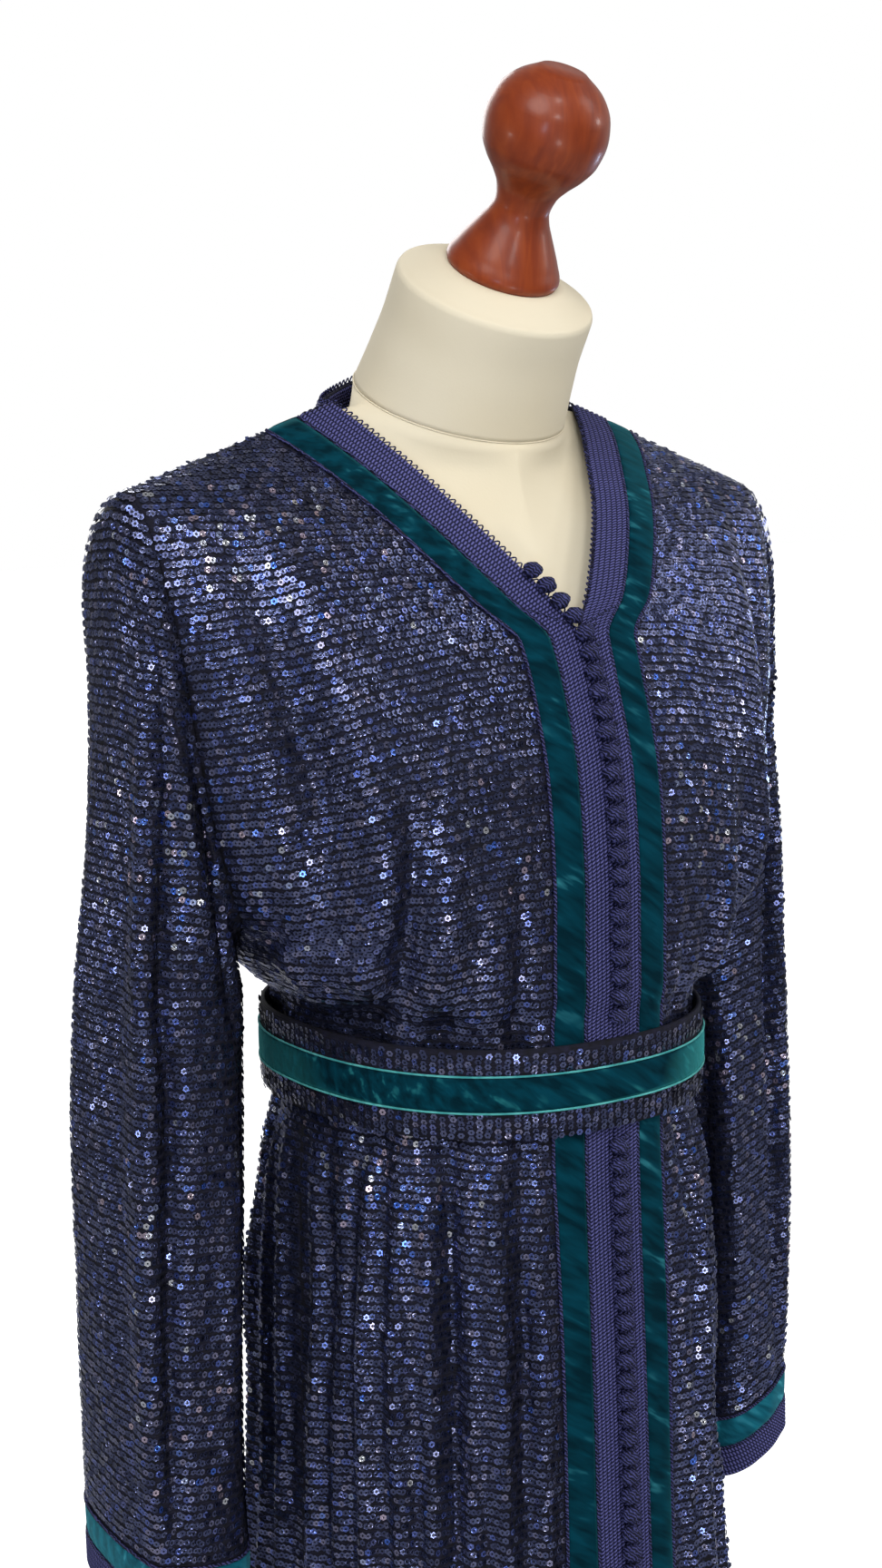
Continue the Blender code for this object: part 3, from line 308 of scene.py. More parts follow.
# Braid: ribs across it, and the pitch and slope of the stitches along every rib. RIB_SINK is
# the share of a rib's height under the braid's face, and EDGE_ROLL a share of its width.
BRAID_RIBS = 6
RIB_HEIGHT = 0.0008
RIB_SINK = 0.4
EDGE_ROLL = 0.04
STITCH_PITCH = 0.0021
STITCH_SLOPE = 0.9
VELVET_CROWN = 0.0007

# The braid inside the back neck, and how far it turns to each side of the middle
FACING_WIDTH = 0.016
FACING_THICK = 0.0008
FACING_TURN = np.radians(62)

# Cords: beside the velvet, in the mitre, at the ribbon's edges and in the picots
PIPING_RADIUS = 0.0010
PIPING_LIFT = 0.0011
PIPING_LIFT_BRAID = 0.0012
THIN_CORD_RADIUS = 0.0006
FINE_CORD_RADIUS = 0.0005
MITRE_POINTS = 12
MITRE_FOOT = 0.004
MITRE_RISE = 0.012
MITRE_LIFT = 0.0002
RIBBON_EDGE_LIFT = 0.0009
PICOT_START = 0.012
PICOT_PITCH = 0.0042
PICOT_HEIGHT = 0.0030
PICOT_SINK = 0.0004

# Fineness of the cloth: more rows at the waist, where it bends most
WAIST_FROM_Z = 0.98
WAIST_TO_Z = 1.28
SKIRT_ROWS = 62
WAIST_ROWS = 46
BODICE_ROWS = 32
TRIM_ROWS = 300
SLEEVE_ROW = 0.0110
BACK_COLUMNS = 58
FRONT_COLUMNS = 52
COLUMNS_PER_RIB = 4
BACK_NECK_REACH = 0.12

# Sequins, and the rows that they are sewn in. Each disc has one of 8 x 8 tiles of its UV map,
# and its corners reach TILE_REACH of the tile's width from the middle. ROW_EVENING counts the
# columns on each side that a row's height is evened with.
SEQUIN_RADIUS = 0.0019
SEQUIN_PITCH = 0.0029
SEQUIN_ROW = 0.0050
SEQUIN_LIFT = 0.0006
ROW_EVENING = 60
COLUMN_FINENESS = 4
SEQUIN_LEAN = np.radians(11)
SEQUIN_WOBBLE = np.radians(6.5)
SEQUIN_STRAY = 0.0004
FRONT_SEQUINS_START = 0.0016
FRONT_SEQUINS_END = 0.0005
BELT_SEQUINS_START = 0.0004
BELT_SEQUINS_END = 0.0002
CUFF_GAP = 0.002
SEQUIN_CLEARANCE = 0.0010
SEQUIN_CORNERS = 6
SEQUIN_TILES = 8
TILE_REACH = 0.46
# SPARKLE_SHARE scales the share of discs that take the pale tiles, which are painted glints
SPARKLE_SHARE = 0.035

# A wave texture of scale 1 repeats after WAVE_LENGTH metres. The knit's rows, really under a
# millimetre apart, are drawn at KNIT_PITCH so that they show.
WAVE_LENGTH = 2 * np.pi / 20
KNIT_PITCH = 0.0016

# The camera stands a little to the wearer's right, at the height of the collar
CAMERA_PLACE = (-0.68185, -1.01312, 1.4485)
CAMERA_RIGHT = (0.83685, -0.54721, -0.01573)
CAMERA_UP = (0.08793, 0.10600, 0.99047)
CAMERA_FORWARD = (0.54033, 0.83025, -0.13682)
CAMERA_LENS = 48.39
CAMERA_SENSOR = 36.0


def table(columns, rows):
    """Give one array for each named column."""
    return dict(zip(columns, np.array(rows, dtype=float).T))


def unit(vectors):
    """Scale vectors to length one."""
    return vectors / np.maximum(np.linalg.norm(vectors, axis=-1, keepdims=True), 1e-12)


def roof(x, side_x):
    """Share of the way down a shoulder line: the slope of a roof with a rounded ridge."""
    rise = np.sqrt(x ** 2 + ROOF_RADIUS ** 2) - ROOF_RADIUS
    return rise / (np.sqrt(side_x ** 2 + ROOF_RADIUS ** 2) - ROOF_RADIUS)


def shoulder_z(x):
    """Height of the shoulder seam at x."""
    return BACK_NECK_Z + (SHOULDER_TIP_Z - BACK_NECK_Z) * roof(x, SHOULDER_HALF)


def superellipses(edge_x, edge_depth, side_x, side_depth):
    """A superellipse for each row, (x/a)^n + (depth/d)^n = 1, through its edge and its side."""
    n = ROUNDNESS
    both = edge_x ** n * side_depth ** n - edge_depth ** n * side_x ** n
    a = np.maximum((side_depth ** n - edge_depth ** n) / both, 1e-9)[:, None] ** (-1 / n)
    d = np.maximum((edge_x ** n - side_x ** n) / both, 1e-9)[:, None] ** (-1 / n)
    start = np.arctan2((edge_x[:, None] / a) ** (n / 2), (edge_depth[:, None] / d) ** (n / 2))
    end = np.arctan2((side_x[:, None] / a) ** (n / 2), (side_depth[:, None] / d) ** (n / 2))
    turn = start + (end - start) * np.linspace(0, 1, SECTION_STEPS)
    return a * np.sin(turn) ** (2 / n), d * np.cos(turn) ** (2 / n)


def lengths(lines):
    """Length along each line of points, from its first point."""
    steps = np.linalg.norm(np.diff(lines, axis=1), axis=2)
    return np.concatenate([np.zeros((len(lines), 1)), np.cumsum(steps, axis=1)], axis=1)


def interp_rows(wanted, known, values):
    """Interpolate every row of an array at once, with each row shifted past the one before."""
    wanted = np.clip(wanted, known[:, :1], known[:, -1:])
    shift = np.arange(len(known))[:, None] * (2 * np.abs(known).max() + 1)
    flat = np.interp((wanted + shift).ravel(), (known + shift).ravel(), values.ravel())
    return flat.reshape(wanted.shape)


def interp_points(wanted, known, points):
    """Interpolate rows of points, or of normals, one coordinate after the other."""
    return np.stack([interp_rows(wanted, known, points[..., k]) for k in range(3)], axis=-1)


def along_lines(lines, wanted):
    """Points at the wanted distances along each line of points."""
    return interp_points(wanted, lengths(lines), lines)


def closed(grid):
    """The same grid with its first column again after the last, so that its rows close."""
    return np.concatenate([grid, grid[:, :1]], axis=1)


def summed(steps):
    """Places along a line, counted from 0, that lie these steps apart."""
    return np.concatenate([[0], np.cumsum(steps)])


def rounded(wave, power):
    """A sine or cosine raised to a power with its sign kept, as in a superellipse."""
    return np.sign(wave) * np.abs(wave) ** power


def section_places(sections):
    """Places of rings of points along the tube that they make, from their mean distances."""
    return summed(np.linalg.norm(np.diff(sections, axis=0), axis=2).mean(axis=1))


def loft(values, places, wanted):
    """A monotone cubic through rows of values, one at each place.

    Each piece is a Hermite cubic. Its slope at a row is the weighted harmonic mean of the
    slopes on both sides, or 0 where these differ in sign.
    """
    values = np.asarray(values, dtype=float)
    shape = (-1,) + (1,) * (values.ndim - 1)
    step = np.diff(places).reshape(shape)
    slope = np.diff(values, axis=0) / step
    ahead, behind = 2 * step[1:] + step[:-1], step[1:] + 2 * step[:-1]
    same = slope[:-1] * slope[1:] > 0
    lower, upper = np.where(same, slope[:-1], 1.0), np.where(same, slope[1:], 1.0)
    inner = np.where(same, (ahead + behind) / (ahead / lower + behind / upper), 0.0)
    slopes = np.concatenate([slope[:1], inner, slope[-1:]])
    k = np.clip(np.searchsorted(places, wanted, side="right") - 1, 0, len(places) - 2)
    t = ((wanted - places[k]) / np.diff(places)[k]).reshape(shape)
    return (values[k] * (1 + 2 * t) * (1 - t) ** 2 + values[k + 1] * t ** 2 * (3 - 2 * t)
            + slopes[k] * step[k] * t * (1 - t) ** 2 - slopes[k + 1] * step[k] * t ** 2 * (1 - t))


def normals_of(grid, middle, tube=False):
    """Unit normals of a grid of points by central differences, pointing away from middle."""
    wide = np.concatenate([grid[:, -1:], grid, grid[:, :1]], axis=1) if tube else grid
    across = np.gradient(wide, axis=1)
    across = across[:, 1:-1] if tube else across
    normals = unit(np.cross(across, np.gradient(grid, axis=0)))
    facing = np.sum(normals * (grid - middle), axis=-1)
    return normals * np.where(facing.mean() < 0, -1.0, 1.0)


def neck_share(height):
    """0 at the foot of the V neck and 1 a little above it, for widths that grow there."""
    return np.clip((height - V_TRIM_START) / (V_TRIM_END - V_TRIM_START), 0, 1)


def trim_edges(height):
    """Distances from the inner edge of a front: both edges of the braid and of the velvet."""
    share = neck_share(height)
    braid = BRAID_WIDTH_CLOSURE + (BRAID_WIDTH_NECK - BRAID_WIDTH_CLOSURE) * share
    velvet = VELVET_WIDTH_CLOSURE + (VELVET_WIDTH_NECK - VELVET_WIDTH_CLOSURE) * share
    start = braid + BRAID_TO_VELVET
    return np.stack([np.zeros_like(braid), braid, start, start + velvet], axis=1)


def gather_height(place, height, skirt, bodice):
    """How far the gathers push the cloth out: a sum of bell curves across the panel."""
    out = np.zeros((len(height), len(place)))
    for rows, heights, strengths, below in ((skirt, GATHER_HEIGHTS, SKIRT_STRENGTH, None),
                                            (bodice, BODICE_HEIGHTS, BODICE_STRENGTH, 0)):
        gather = table(GATHER_COLUMNS, rows)
        away = (place[:, None] - gather["place"]) / gather["width"]
        bells = np.sum(gather["depth"] * np.exp(-away ** 2), axis=1)
        out += np.interp(height, heights, strengths, left=below, right=0)[:, None] * bells
    return out


def crease_height(across, height, rows):
    """Soft troughs and ridges: a bell curve off each line, fading out towards both its ends."""
    crease = table(CREASE_COLUMNS, rows)
    run_x, run_z = crease["to_x"] - crease["from_x"], crease["to_z"] - crease["from_z"]
    run = np.hypot(run_x, run_z)
    from_x, from_z = across[..., None] - crease["from_x"], height[..., None] - crease["from_z"]
    share = np.clip((from_x * run_x + from_z * run_z) / run ** 2, 0, 1)
    off = (from_x * run_z - from_z * run_x) / run
    fade = np.sin(np.pi * share) ** 0.7
    return np.sum(crease["depth"] * fade * np.exp(-(off / crease["width"]) ** 2), axis=-1)


BODY = table(BODY_COLUMNS, BODY_ROWS)
BODY_PLACES = summed(np.hypot(np.diff(BODY["edge_z"]), np.diff(BODY["front"])))

# Skirt gathers, bodice gathers and creases: right front, left front and back
FOLDS = {-1: (SKIRT_GATHERS_RIGHT, BODICE_GATHERS_RIGHT, CREASES_RIGHT),
         1: (SKIRT_GATHERS_LEFT, BODICE_GATHERS_LEFT, CREASES_LEFT),
         0: (SKIRT_GATHERS_BACK, BODICE_GATHERS_BACK, CREASES_BACK)}


def body_place(height, column="edge_z"):
    """The place on a panel, measured from the hem, where a column of its table has a height."""
    return np.interp(height, BODY[column], BODY_PLACES)


def folded(grid, places, share, height, folds):
    """A panel with its gathers and creases, its normals and the heights of its rows.

    share is 0 at the trims, or at the middle of the back, and 1 at the side seam.
    """
    skirt, bodice, creases = folds
    middle = np.stack([np.zeros(len(places)), loft(BODY["middle_y"], BODY_PLACES, places),
                       loft(BODY["side_z"], BODY_PLACES, places)], axis=1)[:, None]
    out = gather_height(share, height, skirt, bodice)
    out += (crease_height(np.abs(grid[..., 0]), grid[..., 2], creases)
            * np.clip((1 - share) / CREASE_STOP, 0, 1))
    grid = grid + normals_of(grid, middle) * out[..., None]
    return grid, normals_of(grid, middle), height


def front_surface(side, columns, places):
    """Points, normals and heights of a front. side is -1 for the right.

    columns run from 0 to 1 over the braid, 2 to 3 over the velvet and 3 to 4 over the rest.
    """
    x, depth = superellipses(BODY["edge_x"], BODY["front"], BODY["side_x"], BODY["front_side"])
    side_x = BODY["side_x"][:, None]
    edge_roof = roof(BODY["edge_x"], BODY["side_x"])[:, None]
    down = (roof(x, side_x) - edge_roof) / (1 - edge_roof)
    edge_z = BODY["edge_z"][:, None]
    z = edge_z + (BODY["side_z"][:, None] - edge_z) * down
    lines = np.stack([side * x, BODY["middle_y"][:, None] - depth, z], axis=-1)
    edges = np.concatenate([trim_edges(BODY["edge_z"]), lengths(lines)[:, -1:]], axis=1)
    k = np.clip(columns.astype(int), 0, 3)
    sections = along_lines(lines, edges[:, k] + (edges[:, k + 1] - edges[:, k]) * (columns - k))
    grid = loft(sections, BODY_PLACES, places)
    height = loft(BODY["edge_z"], BODY_PLACES, places)
    return folded(grid, places, columns - 3, height, FOLDS[side])


def back_surface(columns, places):
    """Points, normals and heights of the back, with columns from -1 at its right seam to 1."""
    flat = np.full(len(BODY_PLACES), 1e-6)
    x, depth = superellipses(flat, BODY["back"], BODY["side_x"], BODY["back_side"])
    hump_share = BODY["hump"][:, None]
    hump_half = NECK_HALF + NECK_HUMP_SPREAD * (1 - hump_share)
    hump = NECK_BACK_DEPTH * np.sqrt(np.clip(1 - (x / hump_half) ** 2, 0, 1))
    depth = np.sqrt(depth ** 2 + (hump_share * hump) ** 2)
    back_z = BODY["back_z"][:, None]
    z = back_z + (BODY["side_z"][:, None] - back_z) * roof(x, BODY["side_x"][:, None])
    lines = np.stack([x, BODY["middle_y"][:, None] + depth, z], axis=-1)
    run = lengths(lines)
    whole = run[:, -1:]
    to_neck = interp_rows(np.full((len(x), 1), NECK_HALF), x, run) / whole
    target = NECK_COLUMN + (to_neck - NECK_COLUMN) * hump_share
    share = np.abs(columns)
    share = np.where(share < NECK_COLUMN, share * target / NECK_COLUMN,
                     target + (share - NECK_COLUMN) * (1 - target) / (1 - NECK_COLUMN))
    sections = along_lines(lines, whole * share)
    sections[..., 0] *= np.sign(columns)
    grid = loft(sections, BODY_PLACES, places)
    height = loft(BODY["side_z"], BODY_PLACES, places)
    return folded(grid, places, np.abs(columns), height, FOLDS[0])


def armhole_line(side):
    """The armhole, from the underarm up its front and down its back, with its turn round it.

    Gives its points, the way out of the armhole at each of them, and the turn: -180 degrees at
    the underarm, -90 in front, 0 on the shoulder and 90 behind.
    """
    places = np.linspace(body_place(UNDERARM_Z, "side_z"), BODY_PLACES[-1], 60)
    front, front_out, _ = front_surface(side, np.array([3.9, 3.96, 4.0]), places)
    back, back_out, _ = back_surface(side * np.array([0.9, 0.96, 1.0]), places)
    line = np.concatenate([front[:, -1], back[-2:0:-1, -1]])
    normal = np.concatenate([front_out[:, -1], back_out[-2:0:-1, -1]])
    inside = np.concatenate([front[:, 0], back[-2:0:-1, 0]])
    run = np.roll(line, -1, axis=0) - np.roll(line, 1, axis=0)
    away = unit(np.cross(run, normal))
    away *= np.sign(np.sum(away * (line - inside), axis=1, keepdims=True))
    away[0] = (0, 0, 1)
    step = np.linalg.norm(np.roll(line, -1, axis=0) - line, axis=1)
    top = len(places) - 1
    up = summed(step[:top]) / step[:top].sum()
    down = np.cumsum(step[top:])[:-1] / step[top:].sum()
    return line, away, np.pi * np.concatenate([up - 1, down])


def sleeve_surface(side, places_of):
    """Rings of one sleeve and their normals. places_of turns the rings' places into wanted ones.

    Each ring is a superellipse, blended near the shoulder with the shape of the armhole.
    """
    line, away, line_turn = armhole_line(side)
    turn = np.linspace(-np.pi, np.pi, SLEEVE_STEPS, endpoint=False)
    start = np.stack([np.interp(turn, line_turn, (line + SEAM * away)[:, k], period=2 * np.pi)
                      for k in range(3)], axis=1)
    rings = table(SLEEVE_COLUMNS, SLEEVE_ROWS)
    power = 2 / SLEEVE_ROUNDNESS
    cosine, sine = rounded(np.cos(turn), power), rounded(np.sin(turn), power)
    fold = CREASE_HEIGHT * np.exp(-((turn - CREASE_TURN) / CREASE_SPREAD) ** 2)
    chord = start[SLEEVE_STEPS // 2] - start[0]
    arm_share = ((start - start[0]) @ chord) / (chord @ chord)
    bow = start - start[0] - np.outer(arm_share, chord)
    blend = rings["blend"][:, None]
    level = np.zeros_like(rings["blend"])
    inner = np.stack([side * rings["inner_x"], level, rings["inner_z"]], axis=1)[:, None]
    outer = np.stack([side * rings["outer_x"], level, rings["outer_z"]], axis=1)[:, None]
    share = arm_share + ((1 + cosine) / 2 - arm_share) * blend
    grid = inner + share[..., None] * (outer - inner) + bow * (1 - blend)[..., None]
    oval_y = rings["middle_y"][:, None] + rings["half_depth"][:, None] * sine
    grid[..., 1] = start[:, 1] + (oval_y - start[:, 1]) * blend
    centre = (inner + outer) / 2
    centre[..., 1] = rings["middle_y"][:, None]
    spoke = (grid - centre) * (1, 1, 0)
    grid += unit(spoke) * (fold * blend)[..., None]
    tip_out, tip_back, lift = HEM_TIP["left" if side > 0 else "right"]
    low = np.clip((HEM_TIP_TOP - centre[..., 2]) / HEM_TIP_FADE, 0, 1)
    grid[..., 2] += low * (lift + tip_out * side * (grid[..., 0] - centre[..., 0])
                           + tip_back * (grid[..., 1] - centre[..., 1]))
    sections = np.concatenate([start[None], grid])
    places = section_places(sections)
    wanted = places_of(places)
    grid = loft(sections, places, wanted)
    middle = grid.mean(axis=1, keepdims=True)
    arc = np.broadcast_to(turn * SLEEVE_GIRTH_RADIUS, grid.shape[:2])
    creases = np.array(SLEEVE_CREASES)
    creases[:, (0, 2)] = np.radians(creases[:, (0, 2)]) * SLEEVE_GIRTH_RADIUS
    out = (crease_height(arc, grid[..., 2], creases)
           * np.clip(wanted / CREASE_SEAM, 0, 1)[:, None])
    grid = grid + normals_of(grid, middle, tube=True) * out[..., None]
    return grid, normals_of(grid, middle, tube=True)


def grid_faces(rows, columns, tube=False):
    """Quads of a grid, as point numbers and as places in a grid of UVs with one more column."""
    around = columns if tube else columns - 1
    r, c = np.meshgrid(np.arange(rows - 1), np.arange(around), indexing="ij")
    r, c = r.ravel(), c.ravel()
    corner_rows = np.stack([r, r, r + 1, r + 1], axis=1)
    corner_columns = np.stack([c, c + 1, c + 1, c], axis=1)
    return corner_rows * columns + corner_columns % columns, (corner_rows, corner_columns)


def make_piece(name, verts, faces, material, slot, uv=None, uv_name="Weave", flip=None):
    """Put points and arrays of faces into a mesh that rides on the only body.

    Faces are turned round if the volume that they enclose comes out negative.
    """
    verts = np.asarray(verts, dtype=float)
    first = np.concatenate([f[:, [0, k, k + 1]] for f in faces for k in range(1, f.shape[1] - 1)])
    a, b, c = (verts[first[:, k]] for k in range(3))
    if flip is None:
        flip = np.sum(a * np.cross(b, c)) < 0
    if flip:
        faces = [f[:, ::-1] for f in faces]
        uv = None if uv is None else [u[:, ::-1] for u in uv]
    loops = np.concatenate([f.ravel() for f in faces])
    counts = np.concatenate([np.full(len(f), f.shape[1]) for f in faces])
    mesh = bpy.data.meshes.new(name)
    mesh.vertices.add(len(verts))
    mesh.vertices.foreach_set("co", verts.astype(np.float32).ravel())
    mesh.loops.add(len(loops))
    mesh.loops.foreach_set("vertex_index", loops.astype(np.int32))
    mesh.polygons.add(len(counts))
    mesh.polygons.foreach_set("loop_start", (np.cumsum(counts) - counts).astype(np.int32))
    if uv is not None:
        layer = mesh.uv_layers.new(name=uv_name)
        layer.data.foreach_set("uv", np.concatenate([u.reshape(-1) for u in uv]).astype(np.float32))
    mesh.update(calc_edges=True)
    mesh.validate()
    mesh.shade_smooth()
    mesh.materials.append(material)
    piece = bpy.data.objects.new(name, mesh)
    bpy.context.scene.collection.objects.link(piece)
    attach(piece, "root")
    return piece


def wall(name, outer, inner, material, slot, tube=False, uv=None):
    """A closed wall between two grids of points: both faces and the rims between them."""
    rows, columns = outer.shape[:2]
    quads, places = grid_faces(rows, columns, tube)
    under = rows * columns
    around = np.arange(columns if tube else columns - 1)
    after = (around + 1) % columns
    top = (rows - 1) * columns
    rims = [np.stack([after, around, around + under, after + under], axis=1),
            np.stack([around + top, after + top, after + top + under, around + top + under],
                     axis=1)]
    if not tube:
        up = np.arange(rows - 1) * columns
        last = columns - 1
        rims += [np.stack([up, up + columns, up + columns + under, up + under], axis=1),
                 np.stack([up + last + columns, up + last, up + last + under,
                           up + last + columns + under], axis=1)]
    corner_uv = None
    if uv is not None:
        sheet_uv = uv[places[0], places[1]]
        corner_uv = [sheet_uv, sheet_uv[:, ::-1]] + [np.zeros((len(r), 4, 2)) for r in rims]
    verts = np.concatenate([outer.reshape(-1, 3), inner.reshape(-1, 3)])
    return make_piece(name, verts, [quads, quads[:, ::-1] + under] + rims, material, slot,
                      corner_uv)


def metre_uv(grid, tube=False):
    """UVs in metres: u is the distance along each row, and v the distance up the columns."""
    wide = closed(grid) if tube else grid
    u = lengths(wide)
    v = lengths(np.swapaxes(wide, 0, 1)).T
    return np.stack([u, v], axis=-1)


def ring_faces(count, around, copies=1):
    """Faces of closed solids through rings of points: quads round them, and both ends."""
    quads, _ = grid_faces(count, around, tube=True)
    ends = np.stack([np.arange(around)[::-1], np.arange(around) + (count - 1) * around])
    shift = (np.arange(copies) * count * around)[:, None, None]
    return [(quads[None] + shift).reshape(-1, 4), (ends[None] + shift).reshape(-1, around)]


def rings_piece(name, rings, material, slot):
    """A closed solid through rings of points, with a flat face at both ends."""
    return make_piece(name, rings.reshape(-1, 3), ring_faces(*rings.shape[:2]), material, slot)


def tubes(paths, radius, out, sides=6):
    """Closed tubes of points and faces along paths of one length. out points off the cloth."""
    count, points = paths.shape[:2]
    run = unit(np.gradient(paths, axis=1))
    side = unit(np.cross(run, out))
    up = np.cross(side, run)
    turn = np.linspace(0, 2 * np.pi, sides, endpoint=False)[:, None]
    ring = side[:, :, None] * np.cos(turn) + up[:, :, None] * np.sin(turn)
    return (paths[:, :, None] + radius * ring).reshape(-1, 3), ring_faces(points, sides, count)


def cords(name, paths, radius, out, material, slot="braid_navy", sides=6):
    """Thin cords along paths of one length, in one piece."""
    return make_piece(name, *tubes(paths, radius, out, sides), material, slot)


def finer(grid, times):
    """The same grid with so many times as many columns, by linear interpolation."""
    place = np.linspace(0, grid.shape[1] - 1, times * (grid.shape[1] - 1) + 1)
    k = np.minimum(place.astype(int), grid.shape[1] - 2)
    share = (place - k)[None, :, None]
    return grid[:, k] * (1 - share) + grid[:, k + 1] * share


def even_rows(grid, normals, anchor):
    """Rows of points SEQUIN_ROW apart up and down every column, counted from an anchor row.

    A long column has more rows than a short one, so rows end at a slanting edge, as a woven
    row does where the cloth is cut. Each distance is a weighted mean over the columns beside
    it, so that the rows run straight over creases. Gives points, normals, and 1 where a row is
    on the cloth.
    """
    columns, outs = (np.swapaxes(finer(values, COLUMN_FINENESS), 0, 1)
                     for values in (grid, normals))
    run = lengths(columns)
    run = run - run[:, anchor][:, None]
    weights = np.hanning(2 * ROW_EVENING + 3)[1:-1]
    padded = np.pad(run, ((ROW_EVENING, ROW_EVENING), (0, 0)), mode="edge")
    run = np.stack([np.convolve(line, weights / weights.sum(), mode="valid")
                    for line in padded.T], axis=1)
    first, last = np.ceil(run.min() / SEQUIN_ROW), np.floor(run.max() / SEQUIN_ROW)
    wanted = (np.arange(first, last) + 0.5) * SEQUIN_ROW
    inside = (wanted >= run[:, :1]) & (wanted <= run[:, -1:])
    wanted = np.broadcast_to(wanted, inside.shape)
    points, outs = interp_points(wanted, run, columns), interp_points(wanted, run, outs)
    return np.swapaxes(points, 0, 1), unit(np.swapaxes(outs, 0, 1)), inside.T.astype(float)


def sequin_centres(grid, normals, on_cloth, start, end):
    """Centres in rows over a grid, SEQUIN_PITCH apart, with their normals and row directions.

    Distances along all rows are laid end to end, so that one interpolation places them all.
    """
    run = lengths(grid)
    counts = np.maximum(((run[:, -1] - start - end) / SEQUIN_PITCH).astype(int), 0)
    row = np.repeat(np.arange(len(grid)), counts)
    number = np.arange(counts.sum()) - np.repeat(np.cumsum(counts) - counts, counts)
    jitter = RANDOM.uniform(0, SEQUIN_PITCH, len(grid))
    wanted = start + jitter[row] + number * SEQUIN_PITCH
    gap = run[:, -1].max() + 1
    flat = (run + np.arange(len(grid))[:, None] * gap).ravel()
    place = np.interp(wanted + row * gap, flat, np.arange(flat.size))
    k = np.minimum(place.astype(int), flat.size - 2)
    share = (place - k)[:, None]
    points, outs = grid.reshape(-1, 3), normals.reshape(-1, 3)
    centre = points[k] + (points[k + 1] - points[k]) * share
    out = unit(outs[k] + (outs[k + 1] - outs[k]) * share)
    kept = (on_cloth.ravel()[k] > 0) & (on_cloth.ravel()[k + 1] > 0)
    return centre[kept], out[kept], unit(points[k + 1] - points[k])[kept]


def sequin_piece(name, centre, out, along):
    """Flat discs of six corners, each leaning on the next along its row and a little askew.

    Every disc has one tile of the UV map, and its tile gives it its colour. A few take the pale
    tiles, which are painted glints, in drifts: the share of them follows slow waves over the cloth.
    """
    count = len(centre)
    lean = SEQUIN_LEAN + RANDOM.normal(0, SEQUIN_WOBBLE, count)
    roll = RANDOM.normal(0, SEQUIN_WOBBLE, count)
    cross = unit(np.cross(out, along))
    first = unit(along * np.cos(lean)[:, None] + out * np.sin(lean)[:, None])
    second = unit(cross * np.cos(roll)[:, None] + out * np.sin(roll)[:, None])
    centre = (centre + out * SEQUIN_LIFT + cross * RANDOM.normal(0, SEQUIN_STRAY, count)[:, None]
              + along * RANDOM.normal(0, SEQUIN_STRAY, count)[:, None])
    turn = np.arange(SEQUIN_CORNERS) * 2 * np.pi / SEQUIN_CORNERS + np.pi / 6
    verts = (centre[:, None] + SEQUIN_RADIUS * (first[:, None] * np.cos(turn)[:, None]
                                                + second[:, None] * np.sin(turn)[:, None]))
    faces = np.arange(count * SEQUIN_CORNERS).reshape(-1, SEQUIN_CORNERS)
    # Painted glints: drifts of pale tiles, placed by slow waves over the cloth
    wave = (np.sin(centre[:, 0] * 41 + centre[:, 2] * 23) + np.sin(centre[:, 2] * 37 - 1)
            + np.sin(centre[:, 1] * 45 + centre[:, 0] * 17))
    pale = RANDOM.random(count) < SPARKLE_SHARE * np.clip(wave, 0.1, None) ** 1.5
    tile_u = RANDOM.integers(0, SEQUIN_TILES, count)
    tile_v = np.where(pale, SEQUIN_TILES - 1, RANDOM.integers(0, SEQUIN_TILES - 1, count))
    local = 0.5 + TILE_REACH * np.stack([np.cos(turn), np.sin(turn)], axis=1)
    uv = (np.stack([tile_u, tile_v], axis=1)[:, None] + local) / SEQUIN_TILES
    return make_piece(name, verts.reshape(-1, 3), [faces], SEQUIN, "sequin_navy", [uv], "OFBake",
                      flip=False)


def sew_sequins(name, rows, start, end, shown=None):
    """Sequins along rows, which hold points, normals, and 1 where a row is on the cloth.

    shown tells which of their centres to keep.
    """
    placed = sequin_centres(*rows, start, end)
    if shown is not None:
        kept = shown(placed[0])
        placed = [values[kept] for values in placed]
    return sequin_piece(name, *placed)


def linear(hex_colour):
    """An sRGB hex colour as linear red, green, blue and alpha."""
    value = np.array([int(hex_colour[k:k + 2], 16) for k in (1, 3, 5)]) / 255
    value = np.where(value <= 0.04045, value / 12.92, ((value + 0.055) / 1.055) ** 2.4)
    return (*value, 1.0)


def add(tree, kind, settings=None, inputs=None):
    """Add a node with its settings, its ramp stops, and numbers or links into its inputs."""
    node = tree.nodes.new("ShaderNode" + kind)
    for name, value in (settings or {}).items():
        if name == "stops":
            elements = node.color_ramp.elements
            while len(elements) < len(value):
                elements.new(0.5)
            for element, (place, colour) in zip(elements, value):
                element.position = place
                element.color = linear(colour) if isinstance(colour, str) else (colour,) * 3 + (1,)
        else:
            setattr(node, name, value)
    for name, value in (inputs or {}).items():
        if isinstance(value, bpy.types.NodeSocket):
            tree.links.new(value, node.inputs[name])
        else:
            node.inputs[name].default_value = value
    return node


def new_material(name, roughness, **sockets):
    """A material with one Principled shader, whose sockets are set by name."""
    material = bpy.data.materials.new(name)
    material.use_nodes = True
    shader = material.node_tree.nodes["Principled BSDF"]
    shader.inputs["Roughness"].default_value = roughness
    for key, value in sockets.items():
        shader.inputs[key.replace("_", " ")].default_value = value
    return material, material.node_tree, shader


def finish(tree, shader, colour, height, strength, distance):
    """Link a colour into a shader, and a pattern's height as relief, distance metres deep."""
    relief = add(tree, "Bump", {}, {"Strength": strength, "Distance": distance,
                                              "Height": height}).outputs[0]
    tree.links.new(colour, shader.inputs["Base Color"])
    tree.links.new(relief, shader.inputs["Normal"])


